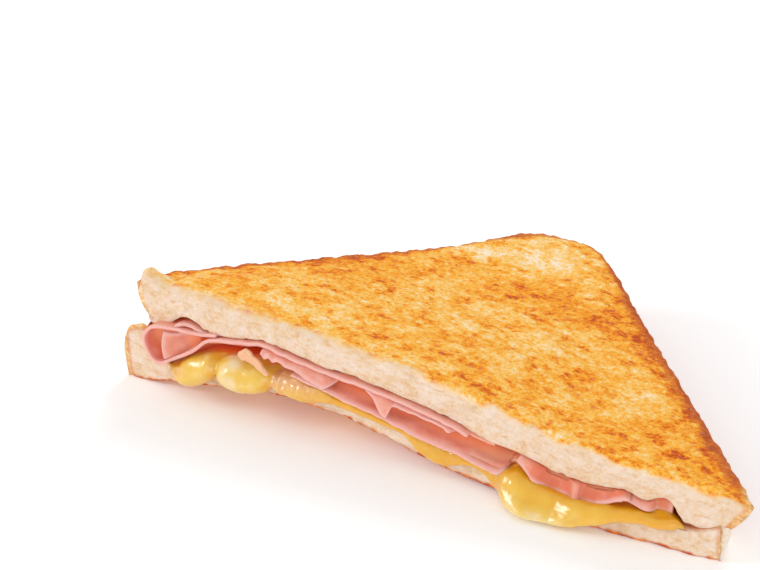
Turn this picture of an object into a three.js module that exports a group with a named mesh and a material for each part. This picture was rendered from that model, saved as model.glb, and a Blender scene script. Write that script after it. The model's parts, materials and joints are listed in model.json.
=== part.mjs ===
// One triangular half of a toasted ham and melted cheese sandwich, lying flat on its lower slice.
// Millimetres, +Z up. The straight cut runs along X and faces -Y, and the crust corner points to +Y.
// Every shape is first worked out in cut coordinates: x along the cut with 0 halfway between the
// square slice's two corners, y into the sandwich with 0 at the cut face, z above the table. The
// last lines move the whole so that the origin is the middle of its footprint, at table height.
import * as THREE from "three";

const { clamp, lerp, smoothstep } = THREE.MathUtils;

// ---- Driving dimensions ----

const topSide = 121; // side of the square upper slice, before the diagonal cut
const bottomSide = 120; // side of the lower slice
const bottomShift = -4.2; // how far the lower slice lies along the cut from the upper one
const loafTopRadius = 24; // crust corner at the left end of the cut
const apexRadius = 17; // crust corner opposite the cut
const loafBaseRadius = 4; // crust corner at the right end of the cut
const gap = 0.35; // clearance between neighbouring pieces
const hamThick = 0.8;
const seamRight = 7.2; // height at which the two crusts meet, at the right end
const seamSlope = 0.0286; // rise of that seam towards the left end
const topMiddle = 19.5; // height of the upper crust rim at x = 0
const topSlope = 0.0602; // rise of the upper rim towards the left end
const middleDepth = 30; // depth of the point round which a slice's faces are laid out
const faceRings = [0.4, 0.7, 0.86, 0.94]; // rings of a slice's faces, as shares of its outline
const settledDepth = 18; // from this far in, the slices and their filling are evenly pressed
const fillingPole = new THREE.Vector2(2, 67); // the fillings narrow towards this point

// ---- Small shaping functions ----

// A smooth hill, 1 at its middle and near 0 two widths away.
const hill = (x, at, width) => Math.exp(-(((x - at) / width) ** 2));
// A round hill, 1 at its middle and 0 from `half` away, like half an ellipse.
const dome = (x, at, half) => Math.sqrt(Math.max(0, 1 - ((x - at) / half) ** 2));
// A ramp that starts at 0 before `from` and is `rise` after `to`.
const ramp = (x, from, to, rise) => rise * smoothstep(x, from, to);

// ---- Outline of a slice ----

// Distance inside one crust corner with the given radius, from the distances to its two sides.
const insideCorner = (a, b, radius) =>
  a < radius && b < radius ? radius - Math.hypot(radius - a, radius - b) : Math.min(a, b);

// Distance from a point to the crust of a slice, positive inside. The slice is a square on its point.
function crustDistance(x, y, side, shift) {
  const halfDiagonal = side / Math.SQRT2;
  const px = x - shift;
  const leftLeg = (halfDiagonal + px - y) / Math.SQRT2;
  const rightLeg = (halfDiagonal - px - y) / Math.SQRT2;
  const missingLeft = (halfDiagonal + px + y) / Math.SQRT2;
  const missingRight = (halfDiagonal - px + y) / Math.SQRT2;
  return Math.min(
    insideCorner(leftLeg, rightLeg, apexRadius),
    insideCorner(leftLeg, missingLeft, loafTopRadius),
    insideCorner(rightLeg, missingRight, loafBaseRadius),
  );
}

// The outline of half a slice, counter-clockwise from the left end of the cut: the cut, then the
// right leg, the rounded apex and the left leg.
function sliceOutline(side, shift, cutSteps, legSteps) {
  const halfDiagonal = side / Math.SQRT2;
  const quarter = Math.PI / 4;
  const crust = new THREE.Path();
  const right = halfDiagonal - loafBaseRadius * Math.SQRT2;
  const left = -halfDiagonal + loafTopRadius * Math.SQRT2;
  crust.absarc(right, 0, loafBaseRadius, 0, quarter, false);
  crust.absarc(0, halfDiagonal - apexRadius * Math.SQRT2, apexRadius, quarter, 3 * quarter, false);
  crust.absarc(left, 0, loafTopRadius, 3 * quarter, Math.PI, false);
  const rim = crust.getSpacedPoints(2 * legSteps);
  const start = rim.at(-1);
  const end = rim[0];
  const cut = [];
  for (let i = 1; i < cutSteps; i++) {
    cut.push(new THREE.Vector2(lerp(start.x, end.x, i / cutSteps), 0));
  }
  const points = [...cut, ...rim].map((p) => ({ x: p.x + shift, y: Math.max(0, p.y) }));
  return points.map((p, i) => ({ ...p, onCut: i < cut.length }));
}

// ---- Heights, all as functions of the place ----

// A smooth curve through a few control points, level before the first and after the last.
function profile(points) {
  const slopeAt = (i) => {
    if (i === 0 || i === points.length - 1) return 0;
    return (points[i + 1][1] - points[i - 1][1]) / (points[i + 1][0] - points[i - 1][0]);
  };
  return (x) => {
    if (x <= points[0][0]) return points[0][1];
    if (x >= points.at(-1)[0]) return points.at(-1)[1];
    const i = points.findIndex((p) => p[0] > x) - 1;
    const width = points[i + 1][0] - points[i][0];
    const t = (x - points[i][0]) / width;
    const lift = points[i + 1][1] - points[i][1];
    const a = slopeAt(i) * width - lift;
    const b = lift - slopeAt(i + 1) * width;
    return points[i][1] + lift * t + t * (1 - t) * (a * (1 - t) + b * t);
  };
}

// How far the lower slice is bowed up off the table at the cut.
const archAtCut = profile([
  [-78, 0], [-66, 1.5], [-50, 4.4], [-38, 6.6], [-31, 7.1], [-16, 6.5], [-5, 5.3], [4, 3.4], [15, 1.4], [28, 0],
]);
// The lower slice's thickness of crumb under the filling: squeezed thinnest where it bows up most.
const pressedCrumb = profile([
  [-78, 5.4], [-70, 4.6], [-64, 4.2], [-58, 4.5], [-50, 4.1], [-40, 2.9], [-31, 2.5], [-22, 2.9], [-12, 3.0],
  [-2, 3.2], [6, 3.6], [12, 4.1], [20, 5.0], [28, 5.1], [40, 4.6], [48, 4.5], [58, 4.6], [66, 5.3],
]);
// The height of the filling's space at the cut: tall over the rolled ham at the left, lower after
// the roll's end and over a fold at the right, and closed at the right end.
const fillingAtCut = profile([
  [-69, 8.8], [-64, 11.0], [-60, 12.6], [-57, 12.2], [-52, 9.8], [-45, 9.2], [-37, 10.2], [-30, 9.4],
  [-20, 7.9], [-10, 7.9], [4, 8.4], [14, 7.8], [20, 6.1], [30, 5.7], [40, 4.4], [48, 4.4], [56, 5.2],
  [61, 3.9], [65.5, 5.0], [70, 0.4],
]);

// Deeper in, both even out: the crumb's thickness and the filling's height change steadily with x.
const settled = (y) => smoothstep(y, 1, settledDepth);
const crumbAt = (x, y) => lerp(pressedCrumb(x), 5.5 - 0.008 * x, settled(y));
const fillingAt = (x, y) => lerp(fillingAtCut(x), 7.7 - 0.055 * x, settled(y));

// The height at which the crusts of the two slices meet. It rises into a lip at the left end.
const seam = (x, y) =>
  seamRight +
  seamSlope * (topSide / Math.SQRT2 - x) +
  4.4 * (1 - smoothstep(x, -77, -66)) * (1 - smoothstep(y, 3, 17));

// 0 at the crust, where the slices are pressed together, and 1 where the filling holds them apart.
const openness = (x, y) =>
  smoothstep(Math.min(crustDistance(x, y, topSide, 0), crustDistance(x, y, bottomSide, bottomShift)), 1, 5.5);

const lowerSliceUnder = (x, y) =>
  archAtCut(x) * (1 - settled(y)) * smoothstep(crustDistance(x, y, bottomSide, bottomShift), 3, 14);

const lowerCrumb = (x, y) => lowerSliceUnder(x, y) + crumbAt(x, y);

const lowerSliceTop = (x, y) =>
  lerp(seam(x, y), lowerCrumb(x, y), smoothstep(crustDistance(x, y, bottomSide, bottomShift), 1, 5.5));

const upperSliceUnder = (x, y) =>
  lerp(seam(x, y) + gap + 0.15, lowerCrumb(x, y) + gap + fillingAt(x, y), openness(x, y));

// The toasted upper face: a tilted plane, swollen along the left two thirds of the cut, with the
// crust's raised lip at the left end, a slightly sunken crust rim and a raised apex.
const upperSliceTop = (x, y) => {
  const inside = crustDistance(x, y, topSide, 0);
  const swelling = 3.2 * (1 - smoothstep(x, 6, 46)) * (1 - smoothstep(y, 4, 48)) * smoothstep(inside, 2, 16);
  const lip = 5.0 * (1 - smoothstep(x, -71, -64)) * (1 - smoothstep(y, 2, 9));
  const apex = 1.2 * smoothstep(y, 52, 74);
  return topMiddle - topSlope * x + 0.7 * smoothstep(inside, 0, 7) + swelling + lip + apex;
};

// ---- Turning surfaces into closed meshes ----

function meshGeometry(vertices, faces) {
  const geometry = new THREE.BufferGeometry();
  geometry.setAttribute("position", new THREE.Float32BufferAttribute(vertices.flat(), 3));
  geometry.setIndex(faces.flat());
  geometry.computeVertexNormals();
  return geometry;
}

// A slice: rings of its outline from the middle of the lower face out, up the wall, and back to the
// middle of the upper face. `wall` lists each row of the wall as its share of the height and how far
// it lies in from the outline, on the crust and on the cut.
function sliceGeometry({ outline, middle, rings, wall, lean, under, top }) {
  const count = outline.length;
  // A point on a ring, pushed along the cut by the wall's lean, which fades out inside the outline.
  const leaned = (p, share, up) => [
    lerp(middle.x, p.x, share) + lean(p, up) * share ** 12,
    lerp(middle.y, p.y, share),
  ];
  const onRing = (p, share, height, up) => [
    ...leaned(p, share, up),
    height(lerp(middle.x, p.x, share), lerp(middle.y, p.y, share)),
  ];
  const onWall = (p, { up, crust, cut }) => {
    const height = lerp(under(p.x, p.y), top(p.x, p.y), up);
    if (p.onCut) return [p.x + lean(p, up), cut, height];
    return [...leaned(p, 1 - crust / Math.hypot(p.x - middle.x, p.y - middle.y), up), height];
  };
  const rows = [
    ...rings.map((share) => outline.map((p) => onRing(p, share, under, 0))),
    ...wall.map((row) => outline.map((p) => onWall(p, row))),
    ...rings.toReversed().map((share) => outline.map((p) => onRing(p, share, top, 1))),
  ];
  const vertices = rows.flat();
  const faces = [];
  for (let r = 0; r + 1 < rows.length; r++) {
    for (let i = 0; i < count; i++) {
      const a = r * count + i;
      const b = r * count + ((i + 1) % count);
      faces.push([a, b, b + count], [a, b + count, a + count]);
    }
  }
  const low = vertices.length;
  const high = low + 1;
  vertices.push([middle.x, middle.y, under(middle.x, middle.y)], [middle.x, middle.y, top(middle.x, middle.y)]);
  const lastRow = (rows.length - 1) * count;
  for (let i = 0; i < count; i++) {
    const next = (i + 1) % count;
    faces.push([low, next, i], [high, lastRow + i, lastRow + next]);
  }
  return meshGeometry(vertices, faces);
}

// A layer: its underside is surface(u, v), and its upper face lies thickness(u, v) above that along
// the surface's own normal. Both faces are split into triangles alike, and a rim closes the edge.
function layerGeometry({ surface, thickness, us, vs, centred = false }) {
  const small = 1e-3;
  const normalAt = (u, v) => {
    const along = surface(Math.min(1, u + small), v).sub(surface(Math.max(0, u - small), v));
    const across = surface(u, Math.min(1, v + small)).sub(surface(u, Math.max(0, v - small)));
    return across.cross(along).normalize();
  };
  const lower = [];
  const upper = [];
  for (const u of us) {
    for (const v of vs) {
      const p = surface(u, v);
      const n = normalAt(u, v);
      const t = thickness(u, v);
      lower.push(p.clone().addScaledVector(n, centred ? -t / 2 : 0).toArray());
      upper.push(p.clone().addScaledVector(n, centred ? t / 2 : t).toArray());
    }
  }
  const rows = us.length;
  const columns = vs.length;
  const offset = lower.length;
  const faces = [];
  for (let i = 0; i + 1 < rows; i++) {
    for (let j = 0; j + 1 < columns; j++) {
      const a = i * columns + j;
      const b = a + 1;
      const c = a + columns;
      const d = c + 1;
      faces.push([a, c, d], [a, d, b]);
      faces.push([a + offset, d + offset, c + offset], [a + offset, b + offset, d + offset]);
    }
  }
  const rim = [];
  for (let j = 0; j < columns - 1; j++) rim.push(j);
  for (let i = 0; i < rows - 1; i++) rim.push(i * columns + columns - 1);
  for (let j = columns - 1; j > 0; j--) rim.push((rows - 1) * columns + j);
  for (let i = rows - 1; i > 0; i--) rim.push(i * columns);
  rim.forEach((a, k) => {
    const b = rim[(k + 1) % rim.length];
    faces.push([a, b, b + offset], [a, b + offset, a + offset]);
  });
  return meshGeometry([...lower, ...upper], faces);
}

// ---- Where the fillings lie ----

// Place `q` along the cut, carried to the depth `y`: the fillings narrow with the triangle.
const carried = (q, y) => fillingPole.x + (q - fillingPole.x) * (1 - Math.max(0, y) / fillingPole.y);

const even = (count) => Array.from({ length: count + 1 }, (_, i) => i / count);

// Layers are sampled at the same depths as the slices' faces, so that neighbours keep their gap.
const flat = 0.6;
const depths = faceRings.map((share) => middleDepth * (1 - share));
const flatRows = (back, edge, spare) =>
  [back, back > 50 ? 42 : middleDepth, middleDepth, ...depths, edge]
    .filter((depth, i, all) => depth !== all[i - 1] && !(depth < spare && depth > edge))
    .map((depth) => (flat * (back - depth)) / (back - edge));

// A layer that comes out at the cut and bends over the edge below it. `edge` is the depth at which
// it starts to bend, `turn` the angle it bends through, `radius` that of the bend, and `tip` the
// straight length after it. v runs from the back, 0, over the edge at `flat`, to the tip, 1.
function overTheEdge({ from, to, back, height, edge, turn, radius, tip }) {
  return (u, v) => {
    const q = lerp(from, to, u);
    const start = edge(q);
    if (v <= flat) {
      const y = lerp(back, start, v / flat);
      const x = carried(q, y);
      return new THREE.Vector3(x, y, height(q, x, y));
    }
    const x = carried(q, start);
    const bend = turn(q) * radius(q);
    const run = (bend + tip(q)) * ((v - flat) / (1 - flat));
    const angle = Math.min(run, bend) / radius(q);
    const straight = Math.max(0, run - bend);
    return new THREE.Vector3(
      x,
      start - radius(q) * Math.sin(angle) - straight * Math.cos(angle),
      height(q, x, start) - radius(q) * (1 - Math.cos(angle)) - straight * Math.sin(angle),
    );
  };
}

// ---- Melted cheese ----

// Where the cheese has run out over the lower slice: how far down it hangs below the bend, and how
// thick it hangs. The first two are the round lobes at the left, the fifth and sixth the long drip.
const runs = [
  { at: -57.4, half: 6.6, shape: dome, drop: 2.6, swell: 3.0 },
  { at: -41.4, half: 8.0, shape: dome, drop: 1.3, swell: 3.2 },
  { at: -22, half: 8, shape: hill, drop: 0.6, swell: 0.3 },
  { at: 10, half: 6.5, shape: hill, drop: 2.9, swell: 1.2 },
  { at: 20, half: 4.5, shape: hill, drop: 1.3, swell: 0.5 },
  { at: 36.5, half: 8.4, shape: dome, drop: 3.6, swell: 7.4 },
  { at: 47, half: 8, shape: hill, drop: 3.2, swell: 4.0 },
  { at: 59, half: 5, shape: hill, drop: 1.4, swell: 1.2 },
  { at: 66.4, half: 3.0, shape: hill, drop: 1.9, swell: 1.0 },
];
const summed = (q, key) => runs.reduce((sum, r) => sum + r[key] * r.shape(q, r.at, r.half), 0);
const cheese = { from: -65, to: 69.3, back: 56, bend: 1.0, edge: 0.6 };
const cheeseSheet = (q) => 0.4 + ramp(q, -66, -57, 3.3) - ramp(q, -30, -6, 1.8) - ramp(q, 5, 26, 1.15);
// The lowest the cheese may hang: it rests on the table under the long drip.
const cheeseDrop = (q) => Math.min(0.25 + summed(q, "drop"), lowerSliceTop(q, 0.6) + gap - cheese.bend - 0.3);
const sheetAt = (q, y) => cheeseSheet(q) * (1 - 0.45 * smoothstep(y, 4, 30));
const cheeseTop = (q, x, y) => lowerSliceTop(x, y) + gap + 0.12 + sheetAt(q, y);
const cheeseSurface = overTheEdge({
  ...cheese,
  height: (q, x, y) => lowerSliceTop(x, y) + gap + 0.12 * smoothstep(y, 1, 5),
  edge: () => cheese.edge,
  turn: () => Math.PI / 2,
  radius: () => cheese.bend,
  tip: cheeseDrop,
});
function cheeseThickness(u, v) {
  const q = lerp(cheese.from, cheese.to, u);
  const ends = Math.sqrt(Math.max(0, 1 - Math.abs(2 * u - 1) ** 14));
  const out = Math.max(0, (v - flat) / (1 - flat));
  const y = lerp(cheese.back, cheese.edge, Math.min(1, v / flat));
  const swollen = sheetAt(q, y) + summed(q, "swell") * smoothstep(out, 0.15, 0.72);
  const roundTip = Math.sqrt(Math.max(0, 1 - (Math.max(0, out - 0.58) / 0.42) ** 2));
  const roundBack = smoothstep(v, -0.02, 0.05);
  return Math.max(0.12, swollen * ends * roundTip * roundBack);
}

// ---- Ham ----

// Inside the sandwich the sheets keep a little further from what they lie against.
const slack = (y) => 0.3 * smoothstep(y, 1.5, 6);
const overCheese = (q, x, y) => cheeseTop(q, x, y) + gap + hamThick / 2 + slack(y);
const underBread = (x, y, layers) => upperSliceUnder(x, y) - gap - hamThick / 2 - slack(y) - layers * (hamThick + gap);

// The lowest slice lies on the cheese, runs the whole length and sags out over it.
const lowerHam = {
  from: -28,
  to: 66.5,
  back: 44,
  height: overCheese,
  edge: (q) => 0.4 + 1.2 * hill(q, 33, 6),
  turn: (q) => 0.35 + ramp(q, -12, 8, 0.6) - 0.7 * hill(q, 33, 7) - ramp(q, 50, 60, 0.3),
  radius: (q) => cheese.bend + cheeseSheet(q) + 0.6,
  tip: (q) => 0.9 + 0.4 * Math.sin(q / 2.7),
};

// The middle slice hangs its edge down like a short curtain, with a notch and one long fold in it.
const middleHam = {
  from: -36.5,
  to: 25,
  back: 42,
  height: (q, x, y) => underBread(x, y, 1),
  edge: (q) => 0.9 + 2.6 * hill(q, -16.8, 1.9) + 0.5 * Math.sin(q / 3.1),
  turn: (q) => 1.25 - 0.9 * hill(q, -16.8, 1.9) - ramp(q, 8, 20, 0.8),
  radius: () => 1.3,
  tip: (q) => {
    const curtain = 1.5 - 1.3 * hill(q, -16.8, 2.2) + 1.4 * hill(q, -4.6, 2.2) - ramp(q, 6, 18, 1.1);
    const room = underBread(q, 0.9, 1) - overCheese(q, q, 0.9) - hamThick - 0.2;
    return q < lowerHam.from ? curtain : clamp(room - 1.3, 0.25, curtain);
  },
};

// A slice at the right, folded into two waves under the upper slice.
const rightHam = {
  from: 31.2,
  to: 58,
  back: 36,
  height: (q, x, y) => underBread(x, y, 0),
  edge: (q) => 0.7 + 1.6 * hill(q, 41, 2.6) - 0.5 * hill(q, 35, 2),
  turn: (q) => 1.0 - 0.6 * hill(q, 41, 3),
  radius: () => 1.1,
  tip: (q) => 0.8 + 0.3 * hill(q, 52, 4),
};

// Heights between the two slices as shares: 0 lies on the lower slice, 1 under the upper one.
const between = (x, y, share) =>
  lerp(lowerSliceTop(x, y) + gap + hamThick / 2 + slack(y), underBread(x, y, 0), share);

// The rolled slice: from inside the upper leg round the open loop at the left end and along the
// lower leg, as places along the cut and shares of the height. From `joinsBand` on it runs just
// under the upper slice, as far as `bandEnd`.
const loop = new THREE.SplineCurve(
  [
    [-50.5, 0.78],
    [-56, 0.8],
    [-62, 0.84],
    [-67, 0.9],
    [-70.4, 0.76],
    [-71.4, 0.42],
    [-70, 0.12],
    [-67.2, 0.01],
    [-64.6, 0.13],
    [-60, 0.42],
    [-55, 0.56],
    [-51, 0.58],
    [-47, 0.88],
  ].map(([q, share]) => new THREE.Vector2(q, share * 10)),
);
const roll = { loopShare: 0.56, joinsBand: -47, bandEnd: 16.5, back: 36, front: -1.1, loopFront: -2.6 };

function rollSurface(u, v) {
  const along = Math.min(1, u / roll.loopShare);
  const onBand = Math.max(0, (u - roll.loopShare) / (1 - roll.loopShare));
  const bent = loop.getPointAt(along);
  const q = onBand > 0 ? lerp(roll.joinsBand, roll.bandEnd, onBand) : bent.x;
  const share = lerp(bent.y / 10, 1, smoothstep(onBand, 0, 0.06));
  const front = lerp(roll.loopFront, roll.front, smoothstep(q, -56, -44));
  const y = lerp(roll.back, front, v);
  const x = carried(q, y);
  const sunk = 0.12 * smoothstep(y, 1, 6) * (1 - smoothstep(q, -56, -48));
  return new THREE.Vector3(x, y, between(x, Math.max(0, y), share * (1 - sunk)));
}

// The fold inside the loop: a small wall that stands between its legs and curves inwards.
function foldSurface(u, v) {
  const q = lerp(-64.6, -59.6, u);
  const y = -1.6 + 6 * u * u;
  const x = carried(q, y);
  const share = lerp(lerp(0.3, 0.58, u), lerp(0.74, 0.7, u), v);
  return new THREE.Vector3(x - 1.1 * Math.sin(Math.PI * v) * (1 - u), y, between(x, Math.max(0, y), share));
}

// The end of one more slice, lying on the roll's upper leg under the arch of the bread.
function tipSurface(u, v) {
  const q = lerp(-60.8, -54.8, u);
  const y = lerp(5, -0.7 + 0.9 * u, v);
  const x = carried(q, y);
  return new THREE.Vector3(x, y, between(x, Math.max(0, y), 0.985));
}

// A torn shred that leans from the rolled slice down onto the second lobe of cheese.
function shredSurface(u, v) {
  const q = lerp(-43.6, -33.4, u);
  const width = lerp(0.9, 1.5, Math.sin(Math.PI * Math.min(1, u * 1.2)));
  const x = q + width * 0.5 * (v - 0.5);
  return new THREE.Vector3(x, -1.3 - 1.4 * u, lerp(16.4, 13.9, u) + width * (v - 0.5));
}

// ---- Materials and nodes ----

const finish = (color, roughness) => new THREE.MeshStandardMaterial({ color, roughness, metalness: 0 });
const toast = finish(0xf0a94a, 0.65);
const crumb = finish(0xefd9b8, 0.85);
const melted = finish(0xf0c048, 0.3);
const ham = finish(0xe39a93, 0.4);

function piece(name, geometry, material) {
  const mesh = new THREE.Mesh(geometry, material);
  mesh.name = name;
  return mesh;
}

const hamSheet = (name, shape, columns, rows) =>
  piece(
    name,
    layerGeometry({
      surface: overTheEdge(shape),
      thickness: () => hamThick,
      us: even(columns),
      vs: [...flatRows(shape.back, 0.6, 3), ...rows],
      centred: true,
    }),
    ham,
  );

const sandwich = new THREE.Group();
sandwich.add(
  piece(
    "bread_bottom",
    sliceGeometry({
      outline: sliceOutline(bottomSide, bottomShift, 42, 17),
      middle: { x: bottomShift, y: middleDepth },
      rings: faceRings,
      wall: [
        { up: 0, crust: 1.1, cut: 0.3 },
        { up: 0.25, crust: 0, cut: 0 },
        { up: 0.75, crust: 0.2, cut: 0 },
        { up: 1, crust: 1.4, cut: 0.5 },
      ],
      lean: (p, up) => 4.2 * up ** 2 * (1 - smoothstep(p.x, -78, -70)) * (1 - smoothstep(p.y, 5, 15)),
      under: lowerSliceUnder,
      top: lowerSliceTop,
    }),
    crumb,
  ),
  piece(
    "bread_top",
    sliceGeometry({
      outline: sliceOutline(topSide, 0, 42, 17),
      middle: { x: 0, y: middleDepth },
      rings: faceRings,
      wall: [
        { up: 0, crust: 1.4, cut: 0.4 },
        { up: 0.3, crust: 0.2, cut: 0 },
        { up: 0.75, crust: 0, cut: 0 },
        { up: 1, crust: 1.2, cut: 0.9 },
      ],
      lean: (p, up) =>
        (2.6 + 1.2 * (1 - up) ** 2) * (1 - smoothstep(p.x, -76, -68)) * (1 - smoothstep(p.y, 0, 14)) -
        2.4 * (1 - up) ** 2 * smoothstep(p.x, 76, 82),
      under: upperSliceUnder,
      top: upperSliceTop,
    }),
    toast,
  ),
  piece(
    "cheese",
    layerGeometry({
      surface: cheeseSurface,
      thickness: cheeseThickness,
      us: even(48),
      vs: [...flatRows(cheese.back, cheese.edge, 3), 0.67, 0.75, 0.83, 0.9, 0.96, 1],
    }),
    melted,
  ),
  hamSheet("ham_lower", lowerHam, 34, [0.73, 0.86, 1]),
  hamSheet("ham_middle", middleHam, 30, [0.73, 0.86, 1]),
  hamSheet("ham_right", rightHam, 17, [0.73, 0.86, 1]),
  piece(
    "ham_roll",
    layerGeometry({
      surface: rollSurface,
      thickness: () => hamThick,
      us: even(54),
      vs: [roll.back, middleDepth, ...depths, roll.front].map((depth) => (roll.back - depth) / (roll.back - roll.front)),
      centred: true,
    }),
    ham,
  ),
  piece(
    "ham_fold",
    layerGeometry({ surface: foldSurface, thickness: () => 0.8, us: even(7), vs: even(4), centred: true }),
    ham,
  ),
  piece(
    "ham_tip",
    layerGeometry({ surface: tipSurface, thickness: () => 0.8, us: even(6), vs: even(4), centred: true }),
    ham,
  ),
  piece(
    "ham_shred",
    layerGeometry({ surface: shredSurface, thickness: () => 0.7, us: even(8), vs: even(2), centred: true }),
    ham,
  ),
);

// The origin goes to the middle of the footprint.
const middle = new THREE.Box3().setFromObject(sandwich).getCenter(new THREE.Vector3());
sandwich.position.set(-middle.x, -middle.y, 0);
const placed = new THREE.Group();
placed.add(sandwich);

export default placed;
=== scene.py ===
# %% [markdown]
# # Half a toasted ham and cheese sandwich
# This notebook dresses the solid model of half a toasted sandwich. The solids are fixed: they say how
# large the sandwich is and where each layer lies. Every layer is made again here as a fine skin, with
# crumb, crust, folds and drips that the plain solids leave out, and gets the finish of the real food.

# %% Load the frame
import json
import math

import bpy
import numpy as np
from mathutils import Euler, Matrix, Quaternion, Vector

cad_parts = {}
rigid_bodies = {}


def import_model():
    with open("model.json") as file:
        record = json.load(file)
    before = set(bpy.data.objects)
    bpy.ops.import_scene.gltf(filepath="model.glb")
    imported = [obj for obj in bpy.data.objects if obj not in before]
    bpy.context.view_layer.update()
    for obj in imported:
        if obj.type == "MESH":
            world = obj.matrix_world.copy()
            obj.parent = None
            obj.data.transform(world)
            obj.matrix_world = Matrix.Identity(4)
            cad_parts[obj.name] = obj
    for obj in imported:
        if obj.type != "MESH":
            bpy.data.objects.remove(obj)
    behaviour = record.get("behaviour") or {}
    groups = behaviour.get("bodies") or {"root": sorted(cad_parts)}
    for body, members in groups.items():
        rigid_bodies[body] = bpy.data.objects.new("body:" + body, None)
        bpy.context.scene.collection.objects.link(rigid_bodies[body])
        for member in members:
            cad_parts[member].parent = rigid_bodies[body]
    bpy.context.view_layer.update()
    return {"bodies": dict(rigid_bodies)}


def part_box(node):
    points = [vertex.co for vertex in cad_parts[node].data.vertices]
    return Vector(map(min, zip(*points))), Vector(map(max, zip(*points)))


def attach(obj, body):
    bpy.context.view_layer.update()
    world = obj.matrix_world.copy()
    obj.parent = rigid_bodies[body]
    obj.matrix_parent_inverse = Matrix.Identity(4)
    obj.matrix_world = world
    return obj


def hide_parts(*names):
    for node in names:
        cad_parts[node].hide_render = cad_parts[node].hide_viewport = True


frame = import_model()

body = next(iter(frame["bodies"]))

# %% [markdown]
# ## Cut coordinates
# A sandwich half is a square cut corner to corner, so everything is easiest to describe from its cut:
# x runs along the cut with 0 halfway between the square's corners, y goes into the sandwich and z goes
# up, all in millimetres. One function carries such points to the frame's metres. It could be an
# object's own transform, but finished pieces keep their object at the origin, so the move is made on
# the points themselves.

# %% Cut coordinates
MM = 0.001
SQRT2 = math.sqrt(2)
TOP_SIDE = 121.0  # side of the square upper slice
BOTTOM_SIDE = 120.0  # side of the lower slice
BOTTOM_SHIFT = -4.2  # how far the lower slice lies along the cut from the upper one
LOAF_TOP_RADIUS = 24.0  # crust corner at the left end of the cut
APEX_RADIUS = 17.0  # crust corner opposite the cut
LOAF_BASE_RADIUS = 4.0  # crust corner at the right end of the cut
TIP_LEAN = 0.15  # how far the upper slice's right tip is drawn back

top_low, top_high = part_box("bread_top")
right_tip = TOP_SIDE / SQRT2 - LOAF_BASE_RADIUS * (SQRT2 - 1) - TIP_LEAN
cut_origin = np.array([top_high.x / MM - right_tip, top_low.y / MM, 0.0])


def to_frame(points):
    """The frame's metres of points in cut coordinates: their millimetres plus the cut's origin, scaled."""
    return (np.asarray(points) + cut_origin) * MM


print("the cut's middle lies at", to_frame([0, 0, 0]), "m")

# %% [markdown]
# ## Shaping functions
# Food has no straight lines, so its shapes are put together from a few soft functions: a smooth step
# up or down, a hill, a dome, a rounded edge and a curve through control points. Uneven detail comes
# from value noise: random numbers on a lattice of cells, blended smoothly in between. It is worked out
# in numpy, so that it moves real vertices, and it is seeded, so that each run gives the same sandwich.

# %% Soft functions
def smooth(x, start, end):
    """0 before start, 1 after end, and 3t²-2t³ in between, where t is the share of the way."""
    t = np.clip((x - start) / (end - start), 0, 1)
    return t * t * (3 - 2 * t)


def fade(x, start, end):
    """1 before start, 0 after end: one minus the smooth step."""
    return 1 - smooth(x, start, end)


def mix(a, b, t):
    """The value a share t of the way from a to b."""
    return a + (b - a) * t


def hill(x, at, width):
    """A bell: e to the power of minus the squared distance from its middle, in widths."""
    return np.exp(-(((x - at) / width) ** 2))


def dome(x, at, half):
    """Half an ellipse of height 1: the root of one minus the squared distance, in half widths."""
    return np.sqrt(np.clip(1 - ((x - at) / half) ** 2, 0, None))


def quarter_round(t):
    """A quarter of an ellipse, 0 at t = 0 and 1 from t = 1: the root of one minus (1-t) squared."""
    return np.sqrt(1 - (1 - np.clip(t, 0, 1)) ** 2)


print("at 0.5 the bell is", hill(0.5, 0, 1).round(3), "and the rounding", quarter_round(0.5).round(3))

# %% Lines of points
def stacked(*parts):
    """Arrays set side by side along a new last axis."""
    return np.stack(parts, axis=-1)


def unit(vectors):
    """The vectors scaled to length 1."""
    return vectors / np.maximum(np.linalg.norm(vectors, axis=-1, keepdims=True), 1e-9)


def lengths(grid, axis):
    """Lengths along a grid's lines of points, from each line's start."""
    steps = np.linalg.norm(np.diff(grid, axis=axis), axis=-1)
    return np.insert(np.cumsum(steps, axis=axis), 0, 0, axis=axis)


def at_lengths(points, length, at):
    """The points at some lengths along a line of points, straight in between."""
    return stacked(*(np.interp(at, length, column) for column in points.T))


def profile(points):
    """A curve through control points: cubic pieces whose slope at a point is that between its two
    neighbours, and level outside the first and last point."""
    xs, ys = np.array(points, float).T
    slopes = np.zeros(len(xs))
    slopes[1:-1] = (ys[2:] - ys[:-2]) / (xs[2:] - xs[:-2])

    def curve(x):
        i = np.clip(np.searchsorted(xs, x, side="right") - 1, 0, len(xs) - 2)
        width = xs[i + 1] - xs[i]
        t = np.clip((x - xs[i]) / width, 0, 1)
        lift = ys[i + 1] - ys[i]
        start = slopes[i] * width - lift
        end = lift - slopes[i + 1] * width
        return ys[i] + lift * t + t * (1 - t) * (start * (1 - t) + end * t)

    return curve


print("a curve through 0, 2 and 1 at 0, 1 and 3 is", profile([[0, 0], [1, 2], [3, 1]])(2.0).round(3), "at 2")

# %% Noise on a lattice
LATTICE = 32  # cells before the pattern repeats


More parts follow.
